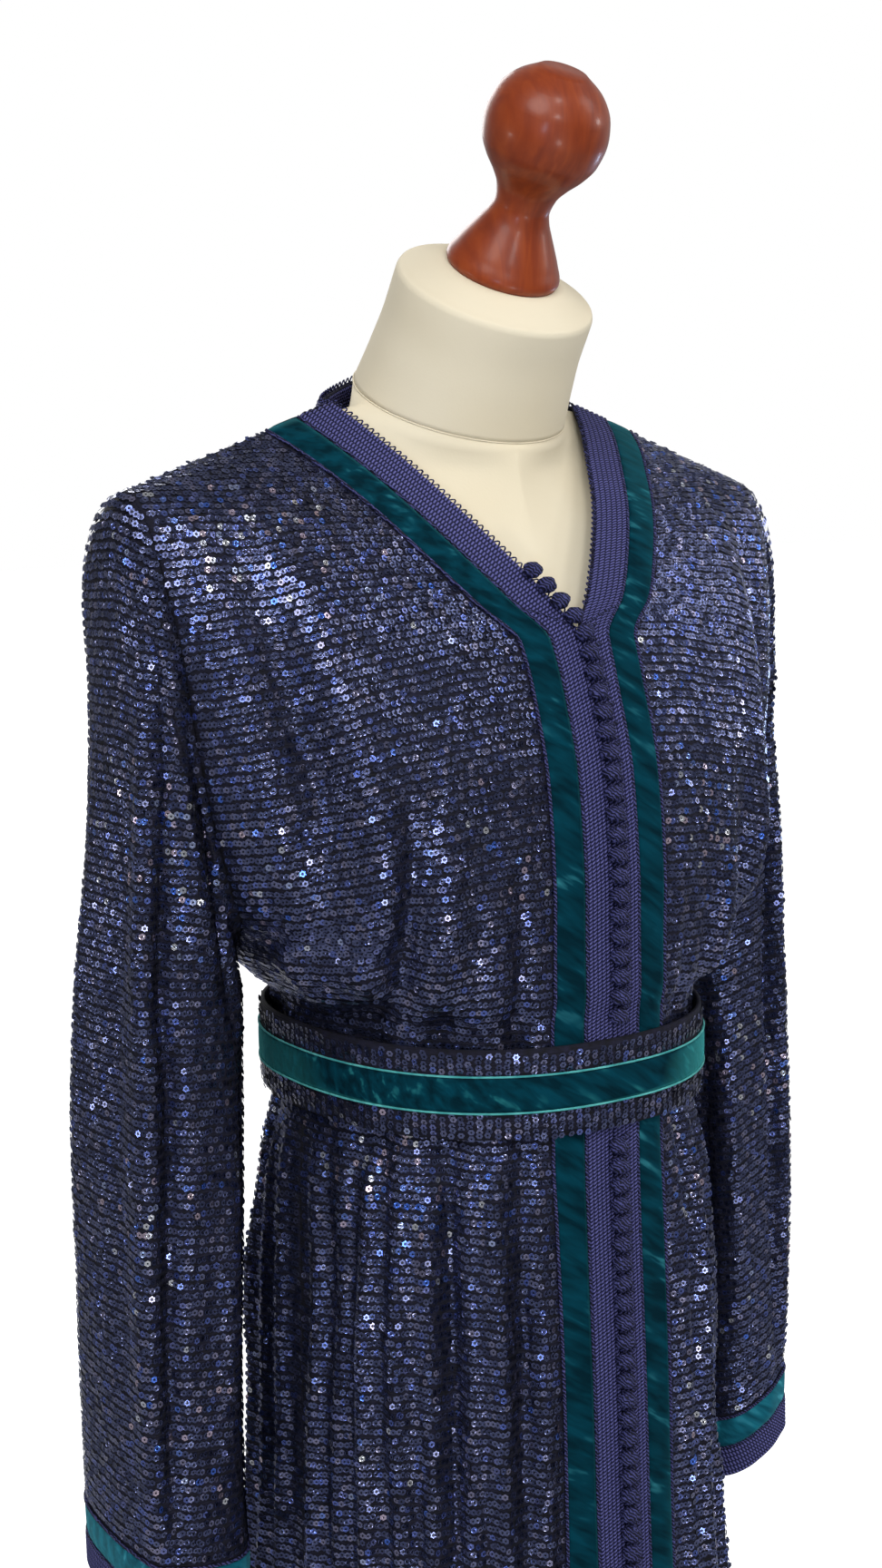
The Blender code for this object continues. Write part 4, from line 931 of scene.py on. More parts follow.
def sequin_film():
    """Metallised polyester film, punched with a hole: dark and glossy, each disc a ring, with its hole
    painted dark and a painted highlight on its rims.
    """
    material, tree, shader = new_material("sequin_film_punched", 0.17, Metallic=0.85)
    uv = add(tree, "UVMap", {"uv_map": "OFBake"}).outputs["UV"]
    tiled = add(tree, "VectorMath", {"operation": "SCALE"},
                {0: uv, "Scale": float(SEQUIN_TILES)}).outputs[0]
    tile = add(tree, "VectorMath", {"operation": "FLOOR"}, {0: tiled}).outputs[0]
    local = add(tree, "VectorMath", {"operation": "FRACTION"}, {0: tiled}).outputs[0]
    radius = add(tree, "VectorMath", {"operation": "DISTANCE"},
                 {0: local, 1: (0.5, 0.5, 0.0)}).outputs["Value"]
    pick = add(tree, "TexWhiteNoise", {"noise_dimensions": "3D"},
               {"Vector": tile}).outputs["Value"]
    dark = add(tree, "ValToRGB",
               {"stops": [(0.0, "#4a5074"), (0.45, "#5e6690"), (0.7, "#747ca8"),
                          (0.88, "#9c9abc"), (1.0, "#4a70d8")]}, {"Fac": pick}).outputs[0]
    # Pale tiles: painted glints, white and blue, not a colour of the film
    pale = add(tree, "ValToRGB",
               {"stops": [(0.0, "#ffffff"), (0.35, "#c8d2f4"), (0.6, "#7c9cf6"),
                          (0.85, "#5888ff"), (1.0, "#e4d0e4")]}, {"Fac": pick}).outputs[0]
    height = add(tree, "SeparateXYZ", {}, {0: tile}).outputs["Y"]
    is_painted_glint = add(tree, "Math", {"operation": "GREATER_THAN"},
                  {0: height, 1: SEQUIN_TILES - 1.5}).outputs[0]
    film = add(tree, "Mix", {"data_type": "RGBA"},
               {0: is_painted_glint, 6: dark, 7: pale}).outputs[2]
    # The ring: the hole painted dark, for the knit seen through it and painted shade, and both rims
    # painted brighter than the middle as a painted highlight
    ring = add(tree, "ValToRGB",
               {"stops": [(0.13, 0.02), (0.18, 0.9), (0.24, 0.5), (0.34, 0.5), (0.41, 1.0)]},
               {"Fac": radius}).outputs[0]
    shaded = add(tree, "Mix", {"data_type": "RGBA", "blend_type": "MULTIPLY"},
                 {0: 1.0, 6: film, 7: ring}).outputs[2]
    finish(tree, shader, shaded, ring, 0.35, 0.0003)
    return material


def knit_ground():
    """Fine stretch knit, the ground that the sequins are sewn to: matt navy with thin rows."""
    material, tree, shader = new_material("knit_ground_navy", 0.85, Specular_IOR_Level=0.25)
    place = add(tree, "TexCoord").outputs["Object"]
    mottle = add(tree, "TexNoise", {}, {"Vector": place, "Scale": 260.0,
                                                  "Detail": 3.0}).outputs["Fac"]
    colour = add(tree, "ValToRGB", {"stops": [(0.3, "#08080f"), (0.7, "#16162a")]},
                 {"Fac": mottle}).outputs[0]
    rows = add(tree, "TexWave", {"bands_direction": "Z"},
               {"Vector": place, "Scale": WAVE_LENGTH / KNIT_PITCH, "Distortion": 1.5})
    finish(tree, shader, colour, rows.outputs["Fac"], 0.5, 0.0004)
    return material


def crushed_velvet(name, deep, middle, bright, painted_sheen_share=0.3):
    """Woven velvet, its pile crushed here and there: deep green with thin pale bruises.

    The bruises are the peaks of a noise that is drawn out along a slanting line, in patches.
    A painted sheen: the bright colour also shows where a surface turns away from the eye, up to a
    share that is given.
    """
    material, tree, shader = new_material(name, 0.9, Sheen_Weight=0.45, Sheen_Roughness=0.15,
                                          Sheen_Tint=linear(bright), Specular_IOR_Level=0.05)
    place = add(tree, "TexCoord").outputs["Object"]
    slow = add(tree, "TexNoise", {}, {"Vector": place, "Scale": 34.0,
                                                "Detail": 2.0}).outputs["Fac"]
    drawn = add(tree, "Mapping", {"vector_type": "TEXTURE"},
                {"Vector": place, "Rotation": (0.0, -1.0, 0.0), "Scale": (1.0, 1.0, 6.0)}).outputs[0]
    folds = add(tree, "TexNoise", {}, {"Vector": drawn, "Scale": 170.0, "Detail": 2.0,
                                                 "Distortion": 0.25}).outputs["Fac"]
    thin = add(tree, "MapRange", {}, {"Value": folds, "From Min": 0.58,
                                                "From Max": 0.72}).outputs[0]
    patch = add(tree, "MapRange", {}, {"Value": slow, "From Min": 0.46, "From Max": 0.64,
                                                 "To Max": 0.55}).outputs[0]
    bruise = add(tree, "Math", {"operation": "MULTIPLY"}, {0: thin, 1: patch}).outputs[0]
    body = add(tree, "ValToRGB", {"stops": [(0.35, deep), (0.65, middle)]},
               {"Fac": folds}).outputs[0]
    pile = add(tree, "Mix", {"data_type": "RGBA"},
               {0: bruise, 6: body, 7: linear(bright)}).outputs[2]
    # Painted sheen: the bright colour is mixed in where the surface turns away from the eye
    facing = add(tree, "LayerWeight", {}, {"Blend": 0.5}).outputs["Facing"]
    painted_sheen = add(tree, "MapRange", {}, {"Value": facing, "From Min": 0.4,
                                                       "From Max": 0.9, "To Max": painted_sheen_share}).outputs[0]
    lit = add(tree, "Mix", {"data_type": "RGBA"},
              {0: painted_sheen, 6: pile, 7: linear(bright)}).outputs[2]
    finish(tree, shader, lit, folds, 0.8, 0.0020)
    return material


def braid_cord(name, slope):
    """Viscose braid in chain stitch: violet navy, a slanted stitch every 2 mm of each rib.

    u counts the ribs and v is in metres. A stitch is a wave along v, shifted along u inside a
    rib and by half a stitch from rib to rib, times a narrow groove at each side of the rib.
    """
    material, tree, shader = new_material(name, 0.7, Specular_IOR_Level=0.15)
    uv = add(tree, "UVMap", {"uv_map": "Weave"}).outputs["UV"]
    axes = add(tree, "SeparateXYZ", {}, {0: uv}).outputs
    rib = add(tree, "Math", {"operation": "FLOOR"}, {0: axes["X"]}).outputs[0]
    inside = add(tree, "Math", {"operation": "FRACT"}, {0: axes["X"]}).outputs[0]
    along = add(tree, "Math", {"operation": "DIVIDE"},
                {0: axes["Y"], 1: STITCH_PITCH}).outputs[0]
    shifted = add(tree, "Math", {"operation": "MULTIPLY_ADD"},
                  {0: inside, 1: slope, 2: along}).outputs[0]
    stepped = add(tree, "Math", {"operation": "MULTIPLY_ADD"},
                  {0: rib, 1: 0.5, 2: shifted}).outputs[0]
    wave = add(tree, "Math", {"operation": "PINGPONG"},
               {0: stepped, 1: 0.5}).outputs[0]
    across = add(tree, "Math", {"operation": "PINGPONG"},
                 {0: axes["X"], 1: 0.5}).outputs[0]
    raised = add(tree, "MapRange", {}, {"Value": wave, "From Min": 0.1,
                                                  "From Max": 0.42, "To Min": 0.12}).outputs[0]
    groove = add(tree, "MapRange", {}, {"Value": across, "From Max": 0.2,
                                                  "To Min": 0.2}).outputs[0]
    both = add(tree, "Math", {"operation": "MULTIPLY"},
               {0: raised, 1: groove}).outputs[0]
    fuzz = add(tree, "TexNoise", {}, {"Vector": uv, "Scale": 60.0,
                                                "Detail": 2.0}).outputs["Fac"]
    height = add(tree, "Math", {"operation": "MULTIPLY_ADD"},
                 {0: fuzz, 1: 0.06, 2: both}).outputs[0]
    # Colour follows the relief: painted shade in the grooves and between stitches, painted highlight
    # on the raised stitches
    colour = add(tree, "ValToRGB", {"stops": [(0.08, "#0c0c22"), (0.4, "#282a52"),
                                                        (0.95, "#62629c")]},
                 {"Fac": height}).outputs[0]
    finish(tree, shader, colour, height, 0.8, 0.0006)
    return material


def knotted_cord():
    """Viscose cord, twisted: its fine strands show as short slanted lines on every knot, with painted
    shade between the strands and a painted highlight along them.
    """
    material, tree, shader = new_material("viscose_cord_knotted", 0.65, Specular_IOR_Level=0.2)
    place = add(tree, "TexCoord").outputs["Object"]
    turned = add(tree, "Mapping", {}, {"Vector": place,
                                                 "Rotation": (0.6, 0.7, 0.5)}).outputs[0]
    strands = add(tree, "TexWave", {}, {"Vector": turned, "Scale": 190.0,
                                                  "Distortion": 6.0,
                                                  "Detail Scale": 2.0}).outputs["Fac"]
    # Colour follows the strands' relief: painted shade between them, painted highlight on them
    colour = add(tree, "ValToRGB", {"stops": [(0.1, "#0a0a1c"), (0.5, "#1e2044"),
                                                        (1.0, "#484a7e")]},
                 {"Fac": strands}).outputs[0]
    finish(tree, shader, colour, strands, 0.8, 0.0008)
    return material


def form_jersey():
    """Cotton jersey drawn tight over foam: matt warm cream, with the faintest grain."""
    material, tree, shader = new_material("cotton_jersey_cream", 0.88, Specular_IOR_Level=0.3)
    place = add(tree, "TexCoord").outputs["Object"]
    slow = add(tree, "TexNoise", {}, {"Vector": place, "Scale": 9.0,
                                                "Detail": 2.0}).outputs["Fac"]
    colour = add(tree, "ValToRGB", {"stops": [(0.3, "#dbcfb4"), (0.7, "#e2d8c0")]},
                 {"Fac": slow}).outputs[0]
    # Stitches of about 0.9 mm, drawn as a grain of 1.4 mm so that they show at all
    fine = add(tree, "TexNoise", {}, {"Vector": place, "Scale": 700.0}).outputs["Fac"]
    finish(tree, shader, colour, fine, 0.12, 0.0005)
    return material


def varnished_beech():
    """Turned beech, stained red-brown and varnished: low-contrast grain under a gloss coat."""
    material, tree, shader = new_material("beech_stained_varnished", 0.45, Coat_Weight=0.2,
                                          Coat_Roughness=0.2, Specular_IOR_Level=0.3)
    place = add(tree, "TexCoord").outputs["Object"]
    stretch = add(tree, "Mapping", {}, {"Vector": place,
                                                  "Scale": (1.0, 0.35, 0.14)}).outputs[0]
    grain = add(tree, "TexNoise", {}, {"Vector": stretch, "Scale": 240.0,
                                                 "Detail": 4.0, "Distortion": 0.5}).outputs["Fac"]
    colour = add(tree, "ValToRGB", {"stops": [(0.25, "#702606"), (0.5, "#803008"),
                                                        (0.75, "#8e3c0e")]},
                 {"Fac": grain}).outputs[0]
    finish(tree, shader, colour, grain, 0.15, 0.0004)
    return material


def studio_paper():
    """Seamless paper under the stand: pure white to look at, and grey in the light it gives."""
    material, tree, shader = new_material("paper_seamless", 1.0, Base_Color=linear("#d0d0d0"),
                                           Specular_IOR_Level=0.0,
                                           Emission_Color=linear("#ffffff"))
    seen = add(tree, "LightPath").outputs["Is Camera Ray"]
    tree.links.new(seen, shader.inputs["Emission Strength"])
    return material


def strip(name, grid, out, trim, material, node=None, tube=False):
    """A flat braid or ribbon on the cloth: a profile of relief across it, carried along it.

    The profile lies over the columns of the grid, or over its rows on a tube. The UVs count
    the braid's ribs across it, and metres along it.
    """
    shares, relief, thick, slot = trim
    raised = relief[:, None] if tube else relief[None]
    top = grid + out * (SEAM + thick + raised)[..., None]
    uv = metre_uv(grid, tube)
    ribs = BRAID_RIBS * (shares[:, None] if tube else shares)
    uv = np.stack([np.broadcast_to(ribs, uv.shape[:2]), uv[..., 0 if tube else 1]], axis=-1)
    piece = wall(name, top, grid + out * SEAM, material, slot, tube=tube, uv=uv)
    if node:
        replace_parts(piece, node)
    return piece


def rib_relief(share):
    """Raised ribs over the width of a braid: half waves, with the outer edges rolled down."""
    edge = np.clip(np.minimum(share, 1 - share) / EDGE_ROLL, 0, 1)
    return RIB_HEIGHT * (np.abs(np.sin(np.pi * BRAID_RIBS * share)) - RIB_SINK
                         + np.sqrt(edge) - 1)


def dome_relief(share):
    """A soft crown over the width of a velvet band, with its edges turned under."""
    return -VELVET_CROWN * (2 * share - 1) ** 4


SEQUIN = sequin_film()
KNIT = knit_ground()
VELVET = crushed_velvet("silk_velvet_green", "#00202a", "#023846", "#3a8c96")
VELVET_LIGHT = crushed_velvet("silk_velvet_teal", "#0e4656", "#1a6c7e", "#5fb8c6")
# The ribbon's velvet has a stronger painted sheen where it turns away from the eye
VELVET_BELT = crushed_velvet("silk_velvet_ribbon", "#00202a", "#023846", "#3a9c9c",
                             painted_sheen_share=0.8)
BRAID = {-1: braid_cord("viscose_braid_right", STITCH_SLOPE),
         1: braid_cord("viscose_braid_left", -STITCH_SLOPE)}
SELVEDGE = crushed_velvet("silk_selvedge_teal", "#3a8c8e", "#5cb0ae", "#7cc8c0")
CORD = knotted_cord()
JERSEY = form_jersey()
WOOD = varnished_beech()

# The shoulder's place has one just before it, from which its normals are worked out
LAST_PLACES = np.array([BODY_PLACES[-1] - 0.002, BODY_PLACES[-1]])
WAIST_START, WAIST_END = body_place(WAIST_FROM_Z), body_place(WAIST_TO_Z)
KNIT_ROWS = np.concatenate([np.linspace(0, WAIST_START, SKIRT_ROWS)[:-1],
                            np.linspace(WAIST_START, WAIST_END, WAIST_ROWS)[:-1],
                            np.linspace(WAIST_END, BODY_PLACES[-1], BODICE_ROWS)])
FINE_ROWS = np.linspace(0, BODY_PLACES[-1], TRIM_ROWS)
WAIST_ROW = int(np.argmin(np.abs(FINE_ROWS - body_place((BELT_BOTTOM + BELT_TOP) / 2))))
BRAID_SHARES = np.linspace(0, 1, COLUMNS_PER_RIB * BRAID_RIBS + 1)
VELVET_SHARES = np.linspace(0, 1, 9)

# A trim: the shares of its width that have columns, its relief there, its thickness and slot
BRAID_TRIM = (BRAID_SHARES, rib_relief(BRAID_SHARES), BRAID_THICK, "braid_navy")
FACING_TRIM = (BRAID_SHARES, rib_relief(BRAID_SHARES) / 2, FACING_THICK, "braid_navy")
VELVET_TRIM = (VELVET_SHARES, dome_relief(VELVET_SHARES), VELVET_THICK, "velvet_green")

FRONT_GRID = np.concatenate([np.linspace(0, 3, 10)[:-1], np.linspace(3, 4, FRONT_COLUMNS)])
HALF_GRID = np.concatenate([np.linspace(0, NECK_COLUMN, BACK_COLUMNS // 2)[:-1],
                            np.linspace(NECK_COLUMN, 1, BACK_COLUMNS // 2)])
BACK_GRID = np.concatenate([-HALF_GRID[:0:-1], HALF_GRID])


def off_belt(points):
    """True for points that don't lie well under the belt, where no sequin shows."""
    return ((points[:, 2] < BELT_BOTTOM + SEQUIN_ROW)
            | (points[:, 2] > BELT_TOP - SEQUIN_ROW))


def make_front(side, hand):
    """One front with its sequins, braid, velvet and the cords beside the velvet."""
    grid, out, _ = front_surface(side, FRONT_GRID, KNIT_ROWS)
    cloth = wall("cloth_front_" + hand, grid, grid - out * CLOTH, KNIT, "sequin_navy")
    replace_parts(cloth, "front_" + hand)
    rows, rows_out, _ = front_surface(side, np.linspace(3, 4, 80), FINE_ROWS)
    pieces = [sew_sequins("sequins_front_" + hand, even_rows(rows, rows_out, WAIST_ROW),
                          FRONT_SEQUINS_START, FRONT_SEQUINS_END, off_belt)]
    for name, ending, first, trim, material in (
            ("braid_front_" + hand, "_ribbed", 0, BRAID_TRIM, BRAID[side]),
            ("velvet_front_" + hand, "_pile", 2, VELVET_TRIM, VELVET)):
        base, off, _ = front_surface(side, first + trim[0], FINE_ROWS)
        pieces.append(strip(name + ending, base, off, trim, material, name))
    base, off, _ = front_surface(side, np.array([1.0, 1.5, 3.0, 3.01]), FINE_ROWS)
    base, off = np.swapaxes(base[:, 1:3], 0, 1), np.swapaxes(off[:, 1:3], 0, 1)
    paths = base + off * np.array([PIPING_LIFT_BRAID, PIPING_LIFT])[:, None, None]
    pieces.append(cords("piping_front_" + hand, paths, PIPING_RADIUS, off, CORD))
    shares = np.linspace(0.02, 0.98, MITRE_POINTS)
    base, off, _ = front_surface(side, shares, body_place(V_FOOT_Z + MITRE_FOOT + MITRE_RISE * shares))
    middle = np.arange(MITRE_POINTS)
    base, off = base[middle, middle][None], off[middle, middle][None]
    pieces.append(cords("mitre_front_" + hand, base + off * (SEAM + BRAID_THICK + MITRE_LIFT),
                        THIN_CORD_RADIUS, off, CORD))


def make_back():
    """The back with its sequins in two pieces, for their number."""
    grid, out, _ = back_surface(BACK_GRID, KNIT_ROWS)
    cloth = wall("cloth_back", grid, grid - out * CLOTH, KNIT, "sequin_navy")
    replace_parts(cloth, "back")
    pieces = []
    for hand, ends in (("right", (-1, 0)), ("left", (0, 1))):
        rows, rows_out, _ = back_surface(np.linspace(*ends, 90), FINE_ROWS)
        pieces.append(sew_sequins("sequins_back_" + hand, even_rows(rows, rows_out, WAIST_ROW),
                                  SEQUIN_CLEARANCE, 0.0, off_belt_and_neck))
    pieces += make_back_bands()


def off_belt_and_neck(points):
    """True for points off the belt and clear of the bands round the back neckline."""
    line, _, _ = back_surface(np.linspace(-NECK_COLUMN, NECK_COLUMN, 60), LAST_PLACES)
    gaps = np.linalg.norm(points[:, None] - line[-1][None], axis=2)
    bands = BRAID_WIDTH_NECK + BRAID_TO_VELVET + VELVET_WIDTH_NECK
    return (gaps.min(axis=1) > bands) & off_belt(points)


def back_band(start, width, shares, reach=np.pi / 2):
    """Points and normals in rows round the back neck, turned as far as reach to each side.

    In the panel's columns and places a row is half an ellipse round the middle of the neck:
    its half axes are how far the band's line lies along the shoulder and down the spine.
    """
    along = np.linspace(NECK_COLUMN, 1, 60)
    seam, _, _ = back_surface(along, LAST_PLACES)
    down = np.linspace(BODY_PLACES[-1], BODY_PLACES[-1] - BACK_NECK_REACH, 60)
    spine, _, _ = back_surface(np.array([0.0, 0.01]), down[::-1])
    spine_run = lengths(np.swapaxes(spine[::-1], 0, 1))[0]
    turn = np.linspace(-np.pi / 2, np.pi / 2, 121)
    turn = turn[np.abs(turn) <= reach][:, None]
    distance = start + width * shares
    column = np.interp(distance, lengths(seam)[-1], along)
    place = np.interp(distance, spine_run, down)
    return panel_points(column * np.sin(turn),
                        BODY_PLACES[-1] - (BODY_PLACES[-1] - place) * np.cos(turn))


def panel_points(columns, places):
    """Points and normals of the back at pairs of a column and a place, one of each."""
    fine_columns = np.linspace(-1, 1, 401)
    fine_places = np.linspace(BODY_PLACES[-1] - BACK_NECK_REACH, BODY_PLACES[-1], 121)
    grid, out, _ = back_surface(fine_columns, fine_places)
    c = (columns + 1) / 2 * (len(fine_columns) - 1)
    r = (places - fine_places[0]) / BACK_NECK_REACH * (len(fine_places) - 1)
    c0 = np.clip(c.astype(int), 0, len(fine_columns) - 2)
    r0 = np.clip(r.astype(int), 0, len(fine_places) - 2)
    u, v = (c - c0)[..., None], (r - r0)[..., None]
    mixed = [(a[r0, c0] * (1 - u) + a[r0, c0 + 1] * u) * (1 - v)
             + (a[r0 + 1, c0] * (1 - u) + a[r0 + 1, c0 + 1] * u) * v for a in (grid, out)]
    return mixed[0], unit(mixed[1])


def make_back_bands():
    """The braid and the velvet round the back neck, and the braid that faces it inside."""
    base, off = back_band(0.0, BRAID_WIDTH_NECK, BRAID_SHARES)
    braid = strip("braid_neck_ribbed", base, off, BRAID_TRIM, BRAID[1], "braid_back_neck")
    base, off = back_band(BRAID_WIDTH_NECK + BRAID_TO_VELVET, VELVET_WIDTH_NECK, VELVET_SHARES)
    velvet = strip("velvet_neck_pile", base, off, VELVET_TRIM, VELVET, "velvet_back_neck")
    base, off = back_band(0.0, FACING_WIDTH, BRAID_SHARES, FACING_TURN)
    facing = strip("braid_neck_facing", base - off * CLOTH, -off, FACING_TRIM, BRAID[1])
    return [braid, velvet, facing]


def make_sleeve(side, hand):
    """One sleeve with its sequins, and the velvet and braid round its cuff."""
    grid, out = sleeve_surface(side, lambda p: np.linspace(0, p[-1], int(p[-1] / SLEEVE_ROW)))
    cloth = wall("cloth_sleeve_" + hand, grid, grid - out * CLOTH, KNIT, "sequin_navy", tube=True)
    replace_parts(cloth, "sleeve_" + hand)
    rows, rows_out = sleeve_surface(side, lambda p: np.linspace(0, p[-4] - CUFF_GAP, TRIM_ROWS))
    pieces = [sew_sequins("sequins_sleeve_" + hand,
                          even_rows(closed(rows), closed(rows_out), -1), 0.0,
                          SEQUIN_CLEARANCE)]
    for name, node, first, last, trim, material in (
            ("velvet_cuff_pile_", "velvet_cuff_", -4, -3, VELVET_TRIM, VELVET_LIGHT),
            ("braid_cuff_ribbed_", "braid_cuff_", -2, -1, BRAID_TRIM, BRAID[side])):
        base, off = sleeve_surface(side, lambda p: p[first] + (p[last] - p[first]) * trim[0])
        pieces.append(strip(name + hand, base, off, trim, material, node + hand, tube=True))
    base, off = sleeve_surface(side, lambda p: np.array([p[-4], (p[-3] + p[-2]) / 2, p[-1]]))
    base, off = closed(base[:2]), closed(off[:2])
    pieces.append(cords("piping_cuff_" + hand, base + PIPING_LIFT * off, PIPING_RADIUS, off,
                        CORD))


def belt_ring(height, off, turn):
    """Points round the waist at each height, off the cloth by a distance, at each turn."""
    values = {name: np.interp(height, BODY["side_z"], BODY[name])[:, None]
              for name in ("side_x", "front", "back", "middle_y")}
    power = 2 / ROUNDNESS
    depth = np.where(np.cos(turn) > 0, values["front"], values["back"])
    x = values["side_x"] * rounded(np.sin(turn), power)
    y = -depth * rounded(np.cos(turn), power)
    z = np.broadcast_to(height[:, None], x.shape)
    flat = np.stack([x, values["middle_y"] + y, z], axis=-1)
    run = np.roll(flat, -1, axis=1) - np.roll(flat, 1, axis=1)
    out = unit(np.cross(run, (0, 0, 1.0)))
    out *= np.sign(out[..., :1] * x[..., None] + out[..., 1:2] * y[..., None])
    return flat + out * np.reshape(off, (-1, 1, 1)), out


def off_ribbon(points):
    """True for points of the belt above and below its ribbon."""
    return ((points[:, 2] < BELT_RIBBON_BOTTOM - SEQUIN_CLEARANCE)
            | (points[:, 2] > BELT_RIBBON_TOP + SEQUIN_CLEARANCE))


def make_belt():
    """The belt: a sequin band with upright rows, and the velvet ribbon with its teal edges."""
    turn = np.linspace(0, 2 * np.pi, 240, endpoint=False)
    shares = VELVET_SHARES
    height = BELT_BOTTOM + (BELT_TOP - BELT_BOTTOM) * shares
    rolled = np.sqrt(np.clip(np.minimum(shares, 1 - shares) / BELT_ROLL_SHARE, 0, 1))
    face = BELT_OFF_CLOTH + BELT_THICK
    outer, _ = belt_ring(height, face - BELT_EDGE_ROLL * (1 - rolled), turn)
    inner, _ = belt_ring(height, BELT_OFF_CLOTH, turn)
    band = wall("belt_cloth", outer, inner, KNIT, "sequin_navy", tube=True)
    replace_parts(band, "belt_band")
    rows, rows_out = belt_ring(height, face, turn)
    run = lengths(closed(rows))
    wanted = np.linspace(0, run.max(), int(run.max() / SEQUIN_ROW), endpoint=False)
    wanted = np.broadcast_to(wanted, (len(rows), len(wanted)))
    upright = np.swapaxes(interp_points(wanted, run, closed(rows)), 0, 1)
    upright_out = np.swapaxes(unit(interp_points(wanted, run, closed(rows_out))), 0, 1)
    sequins = sew_sequins("sequins_belt", (upright, upright_out, np.ones(upright.shape[:2])),
                          BELT_SEQUINS_START, BELT_SEQUINS_END, off_ribbon)
    height = BELT_RIBBON_BOTTOM + (BELT_RIBBON_TOP - BELT_RIBBON_BOTTOM) * shares
    base = face + SEAM
    outer, _ = belt_ring(height, base + VELVET_THICK + dome_relief(shares), turn)
    inner, _ = belt_ring(height, base, turn)
    ribbon = wall("belt_ribbon_pile", outer, inner, VELVET_BELT, "velvet_green", tube=True)
    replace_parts(ribbon, "belt_ribbon")
    lines, off = belt_ring(np.array([BELT_RIBBON_BOTTOM, BELT_RIBBON_TOP]),
                           base + RIBBON_EDGE_LIFT, np.append(turn, 0.0))
    edges = cords("belt_ribbon_edges", lines, THIN_CORD_RADIUS, off, SELVEDGE, "velvet_green")


def knot_paths():
    """Lines that the knots sit on: up the closure below the belt, above it, and over the V."""
    places = np.linspace(0, BODY_PLACES[-1], 900)
    edge, out, height = front_surface(-1, np.array([0.0, 0.1]), places)
    line = edge[:, 0] + out[:, 0] * (2 * SEAM + BRAID_THICK + KNOT_RADIUS * KNOT_STAND)
    joined = height <= V_FOOT_Z
    line[joined, 0] = 0
    lower = (height > height[0] + BUTTONS_ABOVE_HEM) & (height < BELT_BOTTOM - BUTTONS_OFF_BELT)
    upper = height > BELT_TOP + BUTTONS_OFF_BELT
    v_run = lengths(line[None, upper])[0]
    v_start = v_run[np.sum(joined[upper]) - 1]
    upper_line = line[upper][v_run < v_start + (KNOTS_OVER_V + 0.5) * KNOT_PITCH]
    return (("buttons_lower", line[lower]), ("buttons_upper", upper_line))


def make_knots():
    """Knot buttons: balls of wound cord, down the closure and over the V.

    A ball is a sphere on rings of polar angle, swollen where three strands cross over it.
    Each one on the closure is held by a loop of thin cord on the left front.
    """
    polar = np.radians(np.linspace(8, 172, 9))[:, None]
    turn = np.linspace(0, 2 * np.pi, 16, endpoint=False)
    weave = 0.86 + 0.26 * np.abs(np.sin(1.5 * turn + 2.2 * polar) * np.sin(polar) ** 0.5)
    x, y = weave * np.sin(polar) * np.cos(turn), weave * np.sin(polar) * np.sin(turn)
    z = weave * np.cos(polar)
    bend = np.linspace(-np.pi / 2, np.pi / 2, 9)
    loop = np.stack([LOOP_REACH * (1 - np.cos(bend)), LOOP_FRONT - LOOP_SINK * np.sin(bend) ** 2,
                     LOOP_HALF_HEIGHT * np.sin(bend)], axis=1)
    for node, line in knot_paths():
        run = lengths(line[None])
        places = np.arange(KNOT_PITCH / 2, run[0, -1], KNOT_PITCH)
        centre = along_lines(line[None], places[None])[0]
        spin = RANDOM.uniform(0, 2 * np.pi, len(centre))[:, None, None]
        balls = np.stack([x * np.cos(spin) - y * np.sin(spin), x * np.sin(spin) + y * np.cos(spin),
                          np.broadcast_to(z, (len(centre),) + z.shape)], axis=-1)
        size = np.array(KNOT_SHAPE) * KNOT_RADIUS
        verts = (centre[:, None, None] + balls * size).reshape(-1, 3)
        paths = centre[centre[:, 0] > FREE_KNOT_X][:, None] + loop * (1, -1, 1)
        loop_verts, loop_faces = tubes(paths, PIPING_RADIUS,
                                       np.broadcast_to((0.0, -1.0, 0.0), paths.shape))
        faces = ring_faces(*z.shape, len(centre)) + [face + len(verts) for face in loop_faces]
        piece = make_piece(node + "_knots", np.concatenate([verts, loop_verts]), faces, CORD,
                           "braid_navy")
        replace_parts(piece, node)


def make_picots():
    """Picot edging: a thin cord in small loops along the neckline's free edge."""
    shown = np.linspace(body_place(V_FOOT_Z + PICOT_START), BODY_PLACES[-1], 500)
    lines = [front_surface(side, np.array([0.0, 0.05]), shown) for side in (-1, 1)]
    back, back_out, _ = back_surface(np.linspace(-NECK_COLUMN, NECK_COLUMN, 400), LAST_PLACES)
    edge = np.concatenate([lines[0][0][:, 0], back[-1], lines[1][0][::-1, 0]])
    out = np.concatenate([lines[0][1][:, 0], back_out[-1], lines[1][1][::-1, 0]])
    run = lengths(edge[None])
    count = int(run[0, -1] / PICOT_PITCH)
    bend = np.linspace(0, 1, 9)
    wanted = (np.arange(count)[:, None] + 0.1 + 0.8 * bend) * PICOT_PITCH
    path = np.stack([np.interp(wanted, run[0], edge[:, k]) for k in range(3)], axis=-1)
    normal = unit(np.stack([np.interp(wanted, run[0], out[:, k]) for k in range(3)], axis=-1))
    inward = unit(np.cross(unit(np.gradient(path, axis=1)), normal))
    height = PICOT_HEIGHT * np.sin(np.pi * bend) - PICOT_SINK
    path = path + normal * PIPING_LIFT_BRAID + inward * height[:, None]
    cords("picot_neck", path, FINE_CORD_RADIUS, normal, CORD, sides=4)


def tilted_rings(radius, y, z, tilt, turn):
    """Circles in planes that lean forwards, one for each radius."""
    back = -np.cos(turn) * radius[:, None]
    return np.stack([np.sin(turn) * radius[:, None],
                     y[:, None] + back * np.cos(tilt)[:, None],
                     z[:, None] + back * np.sin(tilt)[:, None]], axis=-1)


